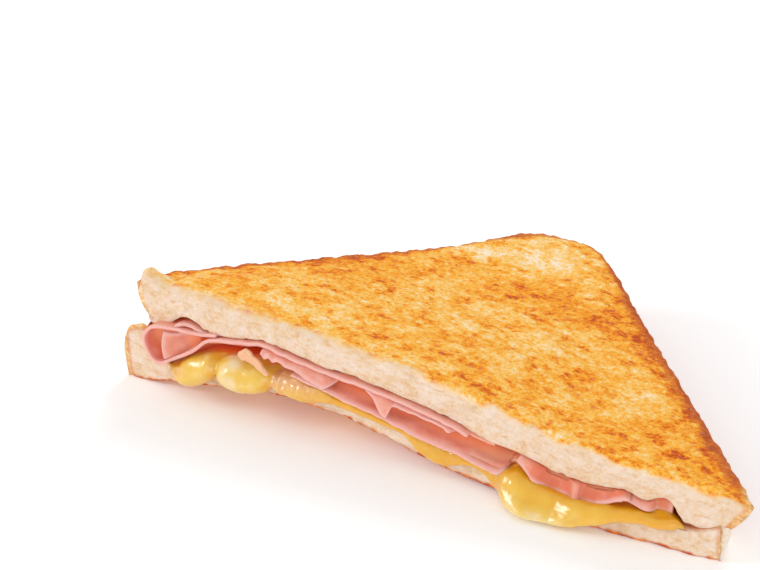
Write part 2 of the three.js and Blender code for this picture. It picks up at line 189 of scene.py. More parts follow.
def noise(points, size, seed):
    """Smooth random values from -1 to 1. `size` is the length of a cell along x, y and z in mm. Each
    value is the blend of the random numbers at its cell's eight corners, weighted by 3f²-2f³."""
    cube = np.random.default_rng(seed).uniform(-1, 1, (LATTICE,) * 3)
    place = points / np.asarray(size, float)
    cell = np.floor(place).astype(int)
    part = place - cell
    part = part * part * (3 - 2 * part)
    total = np.zeros(points.shape[:-1])
    for corner in np.ndindex(2, 2, 2):
        weight = np.where(corner, part, 1 - part).prod(axis=-1)
        x, y, z = np.moveaxis((cell + corner) % LATTICE, -1, 0)
        total += weight * cube[x, y, z]
    return total


sample = noise(np.random.default_rng(1).uniform(0, 90, (1000, 3)), 2, 1)
print("noise of 1000 points goes from", sample.min().round(2), "to", sample.max().round(2))

# %% [markdown]
# ## From arrays to closed meshes
# A skin is a grid of points. Grids become meshes in two ways here. A slice is a wall that closes round
# on itself, with a lid of points below and one above. A layer, such as a sheet of ham, is two grids,
# its underside and its upper side, joined by a rim. Whole index arrays make the faces, because loops
# over a hundred thousand faces are slow in Python. All faces turn outwards.

# %% Mesh helpers
def placed(name, data):
    """A new object with this data, in the scene."""
    thing = bpy.data.objects.new(name, data)
    bpy.context.scene.collection.objects.link(thing)
    return thing


def normals(grid):
    """Unit normals of a grid: the cross product of its differences along the two axes."""
    return unit(np.cross(np.gradient(grid, axis=1), np.gradient(grid, axis=0)))


def new_mesh(name, points, quads, triangles, attributes):
    """A smooth mesh object in the frame from points in cut coordinates and two arrays of faces."""
    mesh = bpy.data.meshes.new(name)
    points = bowed(points, cut_bow)
    corners = np.concatenate([quads.ravel(), triangles.ravel()]).astype(np.int32)
    starts = np.concatenate([np.arange(len(quads)) * 4, 4 * len(quads) + np.arange(len(triangles)) * 3])
    mesh.vertices.add(len(points))
    mesh.loops.add(len(corners))
    mesh.polygons.add(len(starts))
    mesh.vertices.foreach_set("co", to_frame(points).astype(np.float32).ravel())
    mesh.loops.foreach_set("vertex_index", corners)
    mesh.polygons.foreach_set("loop_start", starts.astype(np.int32))
    mesh.polygons.foreach_set("use_smooth", np.ones(len(starts), bool))
    mesh.update(calc_edges=True)
    mesh.validate()
    for key, values in attributes.items():
        attribute = mesh.attributes.new(key, "FLOAT", "POINT")
        attribute.data.foreach_set("value", np.asarray(values, np.float32).ravel())
    print(f"{name}: {len(points)} points, {2 * len(quads) + len(triangles)} triangles")
    return placed(name, mesh)


def finish_piece(piece, material, slot, *nodes):
    """Gives a piece its material, its body and the solids that it stands for."""
    print(f"{piece.name} of {material.name} takes the place of {', '.join(nodes)}")
    piece.data.materials.append(material)
    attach(piece, body)
    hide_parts(*nodes)


# %% Vertex normals, and a layer with a rim
def vertex_normals(points, quads):
    """Unit normals of a mesh of quads: each face's normal is the cross product of its diagonals, and
    a point's normal is the sum over its faces."""
    a, b, c, d = (points[quads[:, k]] for k in range(4))
    face = np.cross(c - a, d - b)
    total = np.zeros_like(points)
    for k in range(4):
        for axis in range(3):
            total[:, axis] += np.bincount(quads[:, k], face[:, axis], len(points))
    return unit(total)


def rimmed_layer(name, lower, upper, attributes):
    """A closed layer: the lower grid facing away from the upper one, and a rim of quads round both."""
    rows, columns = lower.shape[:2]
    here = np.arange(rows * columns).reshape(rows, columns)
    a, b, c, d = here[:-1, :-1], here[:-1, 1:], here[1:, :-1], here[1:, 1:]
    offset = rows * columns
    rim = np.concatenate([here[0, :-1], here[:-1, -1], here[-1, :0:-1], here[:0:-1, 0]])
    after = np.roll(rim, -1)
    quads = np.concatenate([
        stacked(a, c, d, b).reshape(-1, 4),
        stacked(a, b, d, c).reshape(-1, 4) + offset,
        stacked(rim, after, after + offset, rim + offset),
    ])
    points = np.concatenate([lower.reshape(-1, 3), upper.reshape(-1, 3)])
    both = {k: np.concatenate([v.ravel(), v.ravel()]) for k, v in attributes.items()}
    return new_mesh(name, points, quads, np.empty((0, 3), int), both)


# %% [markdown]
# ## Nodes and colours
# A material is a small network of nodes. One function adds any node, and five short ones use it for
# what comes back often: a noise, a sum, a range, a mixed colour and a bump. Colours are written as the
# hex values that a painter would pick on a screen, and one function turns them into the linear light
# that the renderer works with. Patterns are sized in millimetres through the scale of a noise.

# %% Node and colour helpers
OUTPUTS = {"TexCoord": "Object", "Attribute": "Fac", "Mix": 2}  # the others give their first output


def linear(code):
    """Linear RGBA of an sRGB hex code: c/12.92 below 0.04045, else ((c+0.055)/1.055) to the 2.4."""
    c = np.array([int(code[i : i + 2], 16) for i in (1, 3, 5)]) / 255
    light = np.where(c <= 0.04045, c / 12.92, ((c + 0.055) / 1.055) ** 2.4)
    return (*light.tolist(), 1.0)


def add(tree, kind, values, stops=()):
    """Adds a node and gives its output. Each value is a property of the node or else goes to an input,
    where a socket is linked and anything else is set. `stops` are a ramp's places and colours."""
    node = tree.nodes.new("ShaderNode" + kind)
    for key, value in values.items():
        if isinstance(key, str) and hasattr(node, key):
            setattr(node, key, value)
        elif isinstance(value, bpy.types.NodeSocket):
            tree.links.new(value, node.inputs[key])
        else:
            node.inputs[key].default_value = value
    for i, (place, code) in enumerate(stops):
        stop = node.color_ramp.elements[i] if i < 2 else node.color_ramp.elements.new(place)
        stop.position = place
        stop.color = linear(code)
    return node.outputs[OUTPUTS.get(kind, 0)] if node.outputs else None


def speckled(tree, place, size, detail, roughness=0.5):
    """A noise from 0 to 1 with features of about `size` mm, on coordinates in metres."""
    values = {"Vector": place, "Scale": 1 / (size * MM), "Detail": detail, "Roughness": roughness}
    return add(tree, "TexNoise", values)


def scaled(tree, value, factor, plus=0.0):
    """The value times a factor, plus another value."""
    return add(tree, "Math", {"operation": "MULTIPLY_ADD", 0: value, 1: factor, 2: plus})


def ranged(tree, value, start, end, most=1.0):
    """0 below start, `most` above end and even in between."""
    return add(tree, "MapRange", {"Value": value, "From Min": start, "From Max": end, "To Max": most})


def mixed(tree, colour, share, other):
    """The colour, taken a share of the way to another one."""
    return add(tree, "Mix", {"data_type": "RGBA", 0: share, 6: colour, 7: other})


def bumped(tree, height, distance, strength=1.0):
    """Normals bumped by a height pattern that is `distance` mm deep."""
    return add(tree, "Bump", {"Height": height, "Distance": distance * MM, "Strength": strength})


def attributes_of(tree, *names):
    """The outputs of a mesh's attributes."""
    return [add(tree, "Attribute", {"attribute_name": name}) for name in names]


def end_material(tree, values):
    """Ends a material in one principled surface with these values."""
    add(tree, "OutputMaterial", {"Surface": add(tree, "BsdfPrincipled", values)})


def new_material(name):
    """A material without nodes, its tree, and object coordinates in that tree."""
    material = bpy.data.materials.new(name)
    material.use_nodes = True
    tree = material.node_tree
    tree.nodes.clear()
    return material, tree, add(tree, "TexCoord", {})


print("mid grey #808080 is", round(linear("#808080")[0], 3), "in linear light")

# %% [markdown]
# ## Where the slices lie
# The sandwich was squeezed in the toaster: its two slices are pinched together along the crust and
# held apart by the filling inside. So each slice's lower and upper faces are heights over x and y,
# worked out from the distance to the crust. The same functions gave the solids their shape, and they
# are repeated here so that the fine skins lie exactly in the solids' place.

# %% Distance to the crust
def inside_corner(a, b, radius):
    """Distance inside a rounded corner from the distances to its two sides: the lesser of them, or
    the radius less the distance to the rounding's middle where both are under the radius."""
    rounded = radius - np.hypot(radius - a, radius - b)
    return np.where((a < radius) & (b < radius), rounded, np.minimum(a, b))


def crust_distance(x, y, side, shift):
    """Distance to the crust of a square slice that stands on its point: the least of those inside
    its three crust corners."""
    half = side / SQRT2
    px = x - shift
    left, right = (half + px - y) / SQRT2, (half - px - y) / SQRT2
    missing_left, missing_right = (half + px + y) / SQRT2, (half - px + y) / SQRT2
    return np.minimum.reduce([
        inside_corner(left, right, APEX_RADIUS),
        inside_corner(left, missing_left, LOAF_TOP_RADIUS),
        inside_corner(right, missing_right, LOAF_BASE_RADIUS),
    ])


def top_inside(x, y):
    """Distance to the upper slice's crust."""
    return crust_distance(x, y, TOP_SIDE, 0)


def bottom_inside(x, y):
    """Distance to the lower slice's crust."""
    return crust_distance(x, y, BOTTOM_SIDE, BOTTOM_SHIFT)


# %% Heights of the slices
GAP = 0.35  # clearance between neighbouring layers
SEAM_RIGHT = 7.2  # height at which the two crusts meet, at the right end
SEAM_SLOPE = 0.0286  # rise of that seam towards the left end
TOP_MIDDLE = 19.5  # height of the upper crust rim at x = 0
TOP_SLOPE = 0.0602  # rise of the upper rim towards the left end
LIP_HEIGHT = 4.4  # how far the crusts rise in a lip at the left end of the cut
SEAM_GAP = GAP + 0.15  # clearance between the two crusts
PARTING = (1, 5.5)  # distances from the crust between which the slices part

# How far the lower slice is bowed up at the cut, its thickness there, and the filling's height.
arch_at_cut = profile([
    [-78, 0], [-66, 1.5], [-50, 4.4], [-38, 6.6], [-31, 7.1], [-16, 6.5], [-5, 5.3], [4, 3.4], [15, 1.4],
    [28, 0],
])
pressed_crumb = profile([
    [-78, 5.4], [-70, 4.6], [-64, 4.2], [-58, 4.5], [-50, 4.1], [-40, 2.9], [-31, 2.5], [-22, 2.9],
    [-12, 3.0], [-2, 3.2], [6, 3.6], [12, 4.1], [20, 5.0], [28, 5.1], [40, 4.6], [48, 4.5], [58, 4.6],
    [66, 5.3],
])
filling_at_cut = profile([
    [-69, 8.8], [-64, 11.0], [-60, 12.6], [-57, 12.2], [-52, 9.8], [-45, 9.2], [-37, 10.2],
    [-30, 9.4], [-20, 7.9], [-10, 7.9], [4, 8.4], [14, 7.8], [20, 6.1], [30, 5.7], [40, 4.4],
    [48, 4.4], [56, 5.2], [61, 3.9], [65.5, 5.0], [70, 0.4],
])

# %% Faces of the solid slices
def settled(y):
    """0 at the cut and 1 from 18 mm in, where everything is evenly pressed."""
    return smooth(y, 1, 18)


def crust_lip(x, y):
    """How far the crusts are raised at the left end of the cut."""
    return LIP_HEIGHT * fade(x, -77, -66) * fade(y, 3, 17)


def seam(x, y):
    """Height at which the crusts meet: a slope along the cut, and the raised lip at its left end."""
    return SEAM_RIGHT + SEAM_SLOPE * (TOP_SIDE / SQRT2 - x) + crust_lip(x, y)


def lower_under(x, y):
    """Underside of the lower slice: flat, but bowed up off the table along the left of the cut."""
    return arch_at_cut(x) * (1 - settled(y)) * smooth(bottom_inside(x, y), 3, 14)


def lower_crumb(x, y):
    """Upper side of the lower slice's crumb: its underside plus its pressed thickness."""
    return lower_under(x, y) + mix(pressed_crumb(x), 5.5 - 0.008 * x, settled(y))


def lower_top(x, y):
    """Upper side of the lower slice: the seam at the crust and the pressed crumb further in."""
    return mix(seam(x, y), lower_crumb(x, y), smooth(bottom_inside(x, y), *PARTING))


def upper_under(x, y):
    """Underside of the upper slice: the seam at the crust and the filling's top further in."""
    filling = mix(filling_at_cut(x), 7.7 - 0.055 * x, settled(y))
    openness = smooth(np.minimum(top_inside(x, y), bottom_inside(x, y)), *PARTING)
    return mix(seam(x, y) + SEAM_GAP, lower_crumb(x, y) + GAP + filling, openness)


def upper_top(x, y):
    """The toasted face: a tilted plane with a swelling over the filling, a raised lip at the left
    end, a sunken rim and a raised apex."""
    inside = top_inside(x, y)
    swelling = 3.2 * fade(x, 6, 46) * fade(y, 4, 48) * smooth(inside, 2, 16)
    lip = 5.0 * fade(x, -71, -64) * fade(y, 2, 9)
    apex = 1.2 * smooth(y, 52, 74)
    return TOP_MIDDLE - TOP_SLOPE * x + 0.7 * smooth(inside, 0, 7) + swelling + lip + apex


print("filling at the cut's middle:", float(upper_under(0.0, 0.0) - lower_top(0.0, 0.0)), "mm high")

# %% What the solids leave out
def bowed(points, amount):
    """Points moved out of the cut, which isn't quite straight, by `amount` of x, fading inwards."""
    moved = np.array(points, float)
    moved[..., 1] -= amount(points[..., 0]) * fade(points[..., 1], 2, 26)
    return moved


def cut_bow(x):
    """How far the cut bulges out right of its middle."""
    return 1.3 * hill(x, 50, 20)


def lower_step(x):
    """How much further out the lower slice and the cheese on it reach at the right."""
    return 1.3 * smooth(x, 4, 40) * (1 - 0.6 * smooth(x, 70, 78))


def left_end(x, y):
    """1 at the left end of the cut, 0 a centimetre in from it."""
    return fade(x, -69, -62) * fade(y, 1, 8)


# Height of the lower slice's left end by the distance from its crust.
rounded_end = profile([
    [0, 8.8], [0.3, 10.3], [0.8, 11.9], [1.5, 13.3], [2.4, 14.2], [3.8, 14.8], [6.0, 15.5], [7.6, 15.6],
    [9, 14.4], [10.6, 8],
])


def lower_under_seen(x, y):
    """The lower slice's underside, with its arch a little lower and longer at the right."""
    return lower_under(x, y) + (0.7 * hill(x, 27, 9) - 0.6 * hill(x, 5, 8)) * (1 - settled(y))


def lower_top_seen(x, y):
    """The lower slice's upper side, with a round shoulder that stands up behind the rolled ham and
    falls off further in, and with its crust pressed onto the upper one's all round the legs."""
    inside = bottom_inside(x, y)
    pressed_on = 1.1 * fade(inside, 1.5, 5) * smooth(y, 6, 14)
    shoulder = rounded_end(inside) - 1.1 * np.maximum(0, y)
    near = fade(x, -69, -62) * fade(y, 2, 8)
    return mix(lower_top(x, y) - crust_lip(x, y) + pressed_on, shoulder, near)


def upper_under_seen(x, y):
    """The upper slice's underside, which ends higher over that shoulder."""
    return upper_under(x, y) + 2.3 * fade(x, -71, -64) * fade(y, 2, 9)


def upper_top_seen(x, y):
    """The toasted face, with its raised lip rounded off towards the crust."""
    return upper_top(x, y) - 2.6 * fade(top_inside(x, y), 0, 2.6) * left_end(x, y)


print("shoulder 6 mm in from the crust:", float(rounded_end(6.0)), "mm high")

# %% [markdown]
# ## The two slices
# Each slice is one closed skin: a wall that follows the straight cut and the crust round the two legs,
# and a lower and an upper face made of lines from the cut to the crust. A sculpted cube could give the
# same form, but rows and columns let each region have detail of its own: pores in the cut crumb, grit
# on the toasted face and a ragged crust. Four numbers at each point, kept as attributes, say how
# toasted, how crusty, how dark and how orange from the filling it is, and the material reads them.
# That orange is partly the filling's grease and partly a painted glow for the warm light in its hollow.

# %% Crust line of a slice
CRUST_STEPS = 440  # spaces between the points of a crust line
BLUNTING = 0.6  # how much of its reach a blunted end loses


def crust_line(side, bulges, blunt=math.inf):
    """The crust seen from above, from the right end of the cut round the apex to the left end: three
    arcs with straight crust between, at even spaces. Each bulge (x, y, width, push) moves the crust
    near it outwards by push times a bell of the distance. Past `blunt`, x is squeezed by BLUNTING."""
    half = side / SQRT2
    arcs = [
        (half - LOAF_BASE_RADIUS * SQRT2, 0, LOAF_BASE_RADIUS, 0, 45),
        (0, half - APEX_RADIUS * SQRT2, APEX_RADIUS, 45, 135),
        (-half + LOAF_TOP_RADIUS * SQRT2, 0, LOAF_TOP_RADIUS, 135, 180),
    ]
    turns = []
    for x, y, radius, start, end in arcs:
        angle = np.radians(np.linspace(start, end, 90))
        turns.append(stacked(x + radius * np.cos(angle), y + radius * np.sin(angle)))
    line = np.concatenate(turns)
    length = lengths(line, 0)
    even = np.linspace(0, length[-1], CRUST_STEPS + 1)
    line = at_lengths(line, length, even)
    for x, y, width, push in bulges:
        near = hill(line[:, 0], x, width) * hill(line[:, 1], y, width)
        line[1:-1] += push * near[1:-1, None] * outward(line)[1:-1]
    line[:, 0] -= BLUNTING * np.maximum(0, line[:, 0] - blunt)
    return line


def outward(line):
    """Unit normals of the crust line: its differences, turned a quarter clockwise."""
    ahead = np.gradient(line, axis=0)
    return unit(stacked(ahead[:, 1], -ahead[:, 0]))


upper_crust = crust_line(TOP_SIDE, [(-12, 74, 8, 1.6), (-23, 61, 6, -1.0)])
lower_crust = crust_line(BOTTOM_SIDE, [(80, 7, 5, 2.2)], blunt=80.6)
for line in (upper_crust, lower_crust):
    print("a crust line of", lengths(line, 0)[-1].round(1), "mm")

# %% Points and faces of a slice
WALL_ROWS = 26  # rings of points from the lower to the upper face
NARROWEST = 0.45  # share of the slice's depth that the rounding of an edge may take


def rounding(up, low, low_share, high, high_share):
    """How far a wall lies in from its outline at a share `up` of its height: a quarter of an ellipse
    at the lower edge and one at the upper edge."""
    at_low, at_high = quarter_round(up / low_share), quarter_round((1 - up) / high_share)
    return low * (1 - at_low) + high * (1 - at_high)


def slice_places(line, edges, lid_rows):
    """Where a slice's points lie, seen from above, how far up the wall they are, and the faces.

    The wall is rings of columns: along the cut from left to right, then back along the crust. Each
    column of the cut has the same x as one of the crust, and the two lids, the lower and the upper
    face, are grids of points between such pairs. `edges` rounds the wall at the crust and the cut."""
    steps = CRUST_STEPS
    ring = 2 * steps
    room = NARROWEST * line[:, 1]
    up = (1 - np.cos(np.pi * np.linspace(0, 1, WALL_ROWS))) / 2
    crust_in = np.minimum(rounding(up, *edges[0])[:, None], room)
    cut_in = np.minimum(rounding(up, *edges[1])[:, None], room)
    crust = line - outward(line) * crust_in[..., None]
    cut = stacked(line[:, 0] + 0 * cut_in, cut_in)[:, -2:0:-1]
    wall = np.concatenate([cut, crust], axis=1)
    here = np.arange(WALL_ROWS * ring).reshape(WALL_ROWS, ring)
    beside = np.roll(here, -1, axis=1)
    quads = [stacked(here[:-1], beside[:-1], beside[1:], here[1:]).reshape(-1, 4)]
    places, ups, triangles = [wall.reshape(-1, 2)], [np.repeat(up, ring)], []
    count = WALL_ROWS * ring
    for row, rows, level in ((0, lid_rows[0], 0.0), (WALL_ROWS - 1, lid_rows[1], 1.0)):
        share = np.linspace(0, 1, rows + 1)[1:-1, None]
        near, far = wall[row, steps - 2 :: -1], wall[row, steps : 2 * steps - 1]
        inner = near[:, None] + (far - near)[:, None] * share
        lid = np.empty((steps + 1, rows + 1), int)
        lid[0], lid[-1] = here[row, steps - 1], here[row, -1]
        lid[1:-1, 0] = here[row, steps - 2 :: -1]
        lid[1:-1, -1] = here[row, steps:-1]
        lid[1:-1, 1:-1] = count + np.arange((steps - 1) * (rows - 1)).reshape(steps - 1, rows - 1)
        a, b, c, d = lid[1:-2, :-1], lid[2:-1, :-1], lid[2:-1, 1:], lid[1:-2, 1:]
        faces = stacked(a, b, c, d).reshape(-1, 4)
        first = stacked(lid[0, :-1], lid[1, :-1], lid[1, 1:])
        last = stacked(lid[-1, :-1], lid[-2, 1:], lid[-2, :-1])
        ends = np.concatenate([first, last])
        quads.append(faces[:, ::-1] if level else faces)
        triangles.append(ends[:, ::-1] if level else ends)
        places.append(inner.reshape(-1, 2))
        ups.append(np.full(inner.shape[0] * inner.shape[1], level))
        count += inner.shape[0] * inner.shape[1]
    on_wall = np.arange(count) < WALL_ROWS * ring
    places, ups, quads, triangles = (np.concatenate(k) for k in (places, ups, quads, triangles))
    return places, ups, on_wall, quads, triangles


# %% Relief of bread
def bread_relief(points, crumb, crust, toast):
    """How far each point is moved outwards, in mm: broad lumps, grain and sunken pores on cut crumb,
    ragged lumps on the crust, and a fine grit on the toasted face, each times its own amount."""
    pores = smooth(noise(points, (1.8, 1.2, 0.8), 11), 0.25, 0.7)
    pores_wide = smooth(noise(points, (5, 3, 1.6), 12), 0.4, 0.8)
    cut = 0.2 * noise(points, (6, 4, 2.6), 13) + 0.14 * noise(points, (2.4, 1.4, 0.9), 14)
    cut = cut - 0.28 * pores - 0.3 * pores_wide
    rough = 0.28 * noise(points, 3.7, 15) + 0.26 * noise(points, 1.4, 16) + 0.2 * noise(points, 0.8, 20)
    grit = 0.24 * noise(points, (8, 5, 7), 17) + 0.2 * noise(points, (3, 1.7, 2), 18)
    grit = grit + 0.1 * noise(points, (1.4, 0.9, 1), 19)
    return crumb * cut + crust * rough + toast * (1 - crust) * grit


# %% [markdown]
# ## How the toasting lies
# A hot plate browns bread unevenly: where the slice bulges it touches first and browns, and hollows
# stay pale. The upper face is golden with paler patches, a browner band across it, a pale corner at
# the apex and darker edges. Those places are named here as soft spots, and noise breaks them up.

# %% Browning of the upper face
GOLDEN, GOLDEN_BELOW = 0.45, 0.7  # how brown the two toasted faces are on the whole
BROWN_SPOTS = [  # x, y, reach along x and y, amount
    (12, 49, 26, 7, 0.15), (20, 45, 14, 6, 0.06), (-33, 39, 14, 8, 0.12), (36, 27, 9, 6, 0.12),
    (53, 10, 9, 5, 0.14), (29, 9, 8, 8, 0.10), (-57, 15, 8, 12, 0.14), (-2, 66, 13, 7, -0.30),
    (-17, 59, 9, 5, -0.22), (14, 31, 15, 8, -0.13), (-14, 36, 8, 9, -0.12), (46, 20, 6, 5, -0.10),
    (-40, 8, 20, 7, -0.06),
]


def browning_above(points):
    """0 for pale to 1 for dark: a golden level, plus the named spots as bells, plus a darker border
    that fades in from the crust, plus two sizes of noise stretched along the cut."""
    x, y = points[..., 0], points[..., 1]
    inside = top_inside(x, y)
    spots = sum(a * hill(x, px, rx) * hill(y, py, ry) for px, py, rx, ry, a in BROWN_SPOTS)
    right_border = 0.38 * fade(inside, 0, 9) * smooth(x, 16, 34)
    left_border = 0.3 * fade(inside, 0, 7) * fade(x, -36, -18)
    patches = 0.15 * noise(points, (8, 5, 9), 21) + 0.14 * noise(points, (3.2, 2.0, 4), 22)
    return np.clip(GOLDEN + spots + right_border + left_border + patches, 0, 1)


def browning_below(points):
    """The same for the underside: evenly brown with patches, darker along the crust and the cut."""
    x, y = points[..., 0], points[..., 1]
    border = 0.2 * fade(bottom_inside(x, y), 0, 9) + 0.3 * fade(y, 0, 3)
    patches = 0.2 * noise(points, (11, 8, 9), 23) + 0.1 * noise(points, 4, 24)
    return np.clip(GOLDEN_BELOW + border + patches, 0, 1)


def crust_browning(points, above):
    """Brown along both legs, paler round the apex, tan at the cut's left end, pale at its right. On the
    lower slice that end is near white: a pale crust, lightened further as painted light on that face.
    """
    x, y = points[..., 0], points[..., 1]
    brown = 0.8 - 0.28 * hill(x, -4, 14) * smooth(y, 50, 66) + 0.12 * noise(points, (6, 6, 3), 25)
    # The lower slice's right end face: pale crust, also painted near white as light on that face
    right_end = 0.72 * smooth(x, 77, 82) if above else smooth(x, 69, 74)
    return np.clip(brown * (1 - 0.7 * left_end(x, y)) * (1 - right_end), 0, 1)


middle_of_face = np.array([[0.0, 30.0, 20.0]])
print("browning of the upper face's middle:", browning_above(middle_of_face).round(2))

# %% Skin of a slice
def bread_slice(name, line, shift, under, top, edges, lean, lid_rows, toasted_above):
    """One slice's skin: its points, amounts of toast, crust, crumb and filling stain with painted glow, and
    relief.
    """
    place, up, on_wall, quads, triangles = slice_places(line, edges, lid_rows)
    x, y = place[:, 0] + shift, place[:, 1]
    points = stacked(x + lean(x, y, up), y, mix(under(x, y), top(x, y), up))
    thickness = top(x, y) - under(x, y)
    inside = top_inside(x, y) if toasted_above else bottom_inside(x, y)
    ragged = noise(points, (5, 4, 5), 31) + 0.6 * noise(points, (2, 1.6, 2), 32)
    if toasted_above:
        reach = mix(4.6, 1.7, smooth(x, -30, 40))
        toast = smooth(up + 0.04 * ragged, 0.78, 0.95) * smooth(y + 0.9 * ragged + 0.8, 0, reach)
    else:
        toast = fade(up * thickness + 0.5 * noise(points, (1.3, 1.3, 3), 33), 0.1, 0.9)
    width = 2.6 + 1.2 * smooth(np.abs(x), 16, 30)
    crust = fade(inside + 0.7 * ragged, 0.6, width) * smooth(y, 0.15, 1.4)
    crust = np.maximum(crust, on_wall * smooth(y, 2.2, 4))
    below_top = mix((1 - up) * thickness, inside, smooth(x, -69, -66))
    rim = inside if toasted_above else np.minimum(inside, below_top)
    right = smooth(x, 75, 79) if toasted_above else smooth(x, 74.5, 75.5)
    at_ends = np.maximum(fade(x, -70, -62), right)
    tan_edge = fade(rim + 0.5 * ragged, 1.0, 2.5) * at_ends
    crust = np.maximum(crust, 0.9 * tan_edge)
    # Faces towards the filling: orange from its grease, and painted a brighter orange for the warm light in
    # the hollow
    facing_filling = (1 - up if toasted_above else up) * ~on_wall
    inner = facing_filling * smooth(y, 0.2, 3) * smooth(x, -70, -60) * (1 - crust)
    crumb = np.clip(1 - toast - crust - inner, 0, 1)
    browning = browning_above(points) - 0.35 * (1 - toast) if toasted_above else browning_below(points)
    browning = mix(browning, crust_browning(points, toasted_above), crust)
    rough = crust * (1 - 0.6 * left_end(x, y))
    moved = points + vertex_normals(points, quads) * bread_relief(points, crumb, rough, toast)[:, None]
    if not toasted_above:
        moved[:, 2] = np.maximum(moved[:, 2], 0.0)
        moved = bowed(moved, lower_step)
    amounts = {"toast": toast, "crust": crust, "browning": browning, "inner": inner}
    return new_mesh(name, moved, quads, triangles, amounts)


# %% Make the slices
def upper_lean(x, y, up):
    """The upper slice's left end leans in over its whole height, and its right tip is undercut."""
    left = (3.6 + 2.4 * (1 - up) ** 3) * fade(x, -76, -68) * fade(y, 0, 14)
    return left - 4.5 * (1 - up) ** 1.7 * smooth(x, 76, 83)


def lower_lean(x, y, up):
    """The lower slice's left end bulges a little at half its height."""
    return (0.5 + 0.6 * (1 - up) ** 2 + 0.4 * up**2) * fade(x, -78, -70) * fade(y, 5, 15)


upper_slice = bread_slice(
    "upper_slice", upper_crust, 0, upper_under_seen, upper_top_seen,
    [(1.4, 0.3, 1.2, 0.25), (0.4, 0.15, 1.9, 0.3)], upper_lean, (34, 100), toasted_above=True,
)
lower_slice = bread_slice(
    "lower_slice", lower_crust, BOTTOM_SHIFT, lower_under_seen, lower_top_seen,
    [(1.1, 0.25, 1.4, 0.25), (0.3, 0.1, 0.5, 0.2)], lower_lean, (60, 40), toasted_above=False,
)

# %% [markdown]
# ## Toasted white bread
# Bread is crumb and crust of one dough. The crumb is a pale, matte foam that light enters a little,
# so it gets a soft subsurface glow and pores. The toasted face is the same foam, dried and browned,
# and greasy from the plate, so it is smoother and shines in tiny glints. The attributes say where
# each of them is. A ramp of browning colours, driven by the browning amount and fine noise, does
# what painting by hand would do, and it works on every side.

# %% Bread material
def toasted_bread():
    """Crumb colour, toasting ramp and crust colour, mixed by the skin's attributes."""
    material, tree, place = new_material("toasted_white_bread")
    toasted, crusty, browning, inner = attributes_of(tree, "toast", "crust", "browning", "inner")
    pressed = add(tree, "Mapping", {"Scale": (0.72, 1, 1), "Vector": place})
    mottle = speckled(tree, pressed, 1.7, 6, 0.74)
    speckle = speckled(tree, pressed, 0.7, 3, 0.7)
    # The toasting: the attribute, moved up and down by mottling and fine speckles, and up in blotches.
    uneven = scaled(tree, speckle, 1.4, scaled(tree, mottle, 1.35, -1.39))
    blotch = ranged(tree, speckled(tree, pressed, 3.2, 4, 0.6), 0.52, 0.66, 0.34)
    brown = scaled(tree, uneven, 1, scaled(tree, blotch, 1, browning))
    toast = add(tree, "ValToRGB", {0: brown}, [
        (0.0, "#F9E8D0"), (1.0, "#BE4C14"), (0.14, "#FAD8A0"), (0.3, "#FAC86C"), (0.46, "#F9B642"),
        (0.6, "#F6A024"), (0.72, "#EE8C20"), (0.86, "#E07019"),
    ])
    # The crumb: cream, a little pinker or browner from place to place, with tan pores.
    cloud = scaled(tree, speckled(tree, pressed, 2.6, 5, 0.6), 0.55, -0.05)
    shade = scaled(tree, speckle, 0.55, cloud)
    crumb = add(tree, "ValToRGB", {0: shade}, [(0.36, "#E2BC90"), (0.62, "#EEDACA"), (0.49, "#EACFB3")])
    drawn = add(tree, "Mapping", {"Scale": (0.4, 0.8, 1), "Vector": place})
    pore = ranged(tree, speckled(tree, drawn, 1.1, 3, 0.6), 0.56, 0.68, 0.55)
    crumb = mixed(tree, crumb, pore, linear("#DDA660"))
    # The filling's grease, painted a brighter orange as a stand-in for the warm light in the hollow
    stain_and_glow = mixed(tree, crumb, inner, linear("#E8823C"))
    # The crust: from pale tan to reddish brown.
    baked = scaled(tree, uneven, 0.6, browning)
    crust = add(tree, "ValToRGB", {0: baked}, [
        (0.0, "#FCF0DE"), (1.0, "#A0481E"), (0.2, "#EEC487"), (0.45, "#DB8F42"), (0.75, "#C8632C"),
    ])
    colour = mixed(tree, mixed(tree, stain_and_glow, toasted, toast), crusty, crust)
    # Grease stands on the toasted face in tiny beads.
    greasy = scaled(tree, ranged(tree, speckle, 0.58, 0.66), toasted)
    end_material(tree, {
        "Base Color": colour, "Roughness": 0.75, "IOR": 1.45, "Specular IOR Level": 0.12,
        "Subsurface Weight": 0.08, "Subsurface Radius": (1.0, 0.55, 0.3), "Subsurface Scale": 1.0 * MM,
        "Normal": bumped(tree, speckled(tree, place, 0.55, 4, 0.7), 0.25, 0.55),
        "Coat Weight": greasy, "Coat Roughness": 0.18, "Coat Normal": bumped(tree, speckle, 0.35),
    })
    return material


bread = toasted_bread()
finish_piece(upper_slice, bread, "toasted_bread", "bread_top")
finish_piece(lower_slice, bread, "toasted_bread", "bread_bottom")

# %% [markdown]
# ## Melted cheese
# Two slices of mild cheese melted inside and ran out over the lower slice: two round lobes at the
# left, thin runs in the middle and one long drip that reaches the table. The solid is a sheet that
# bends over the edge and hangs, thicker where it ran. The skin repeats that sheet with many more
# points, rounder lobes and a wrinkled film beside them. Metaballs would blend well too, but they don't
# follow the bread's edge as a sheet does.

# %% Where the filling narrows and bends
FILLING_POLE = (2.0, 67.0)  # the fillings narrow towards this point of the triangle
FLAT = 0.6  # share of a layer's rows that lie inside, before it bends over the edge


def carried(q, y):
    """Place q along the cut, carried to depth y: its distance from the pole shrinks with depth."""
    return FILLING_POLE[0] + (q - FILLING_POLE[0]) * (1 - np.maximum(0, y) / FILLING_POLE[1])


def beyond_flat(v):
    """0 where a layer lies flat, then the share of the way from its bend to its outer end."""
    return np.clip((v - FLAT) / (1 - FLAT), 0, 1)


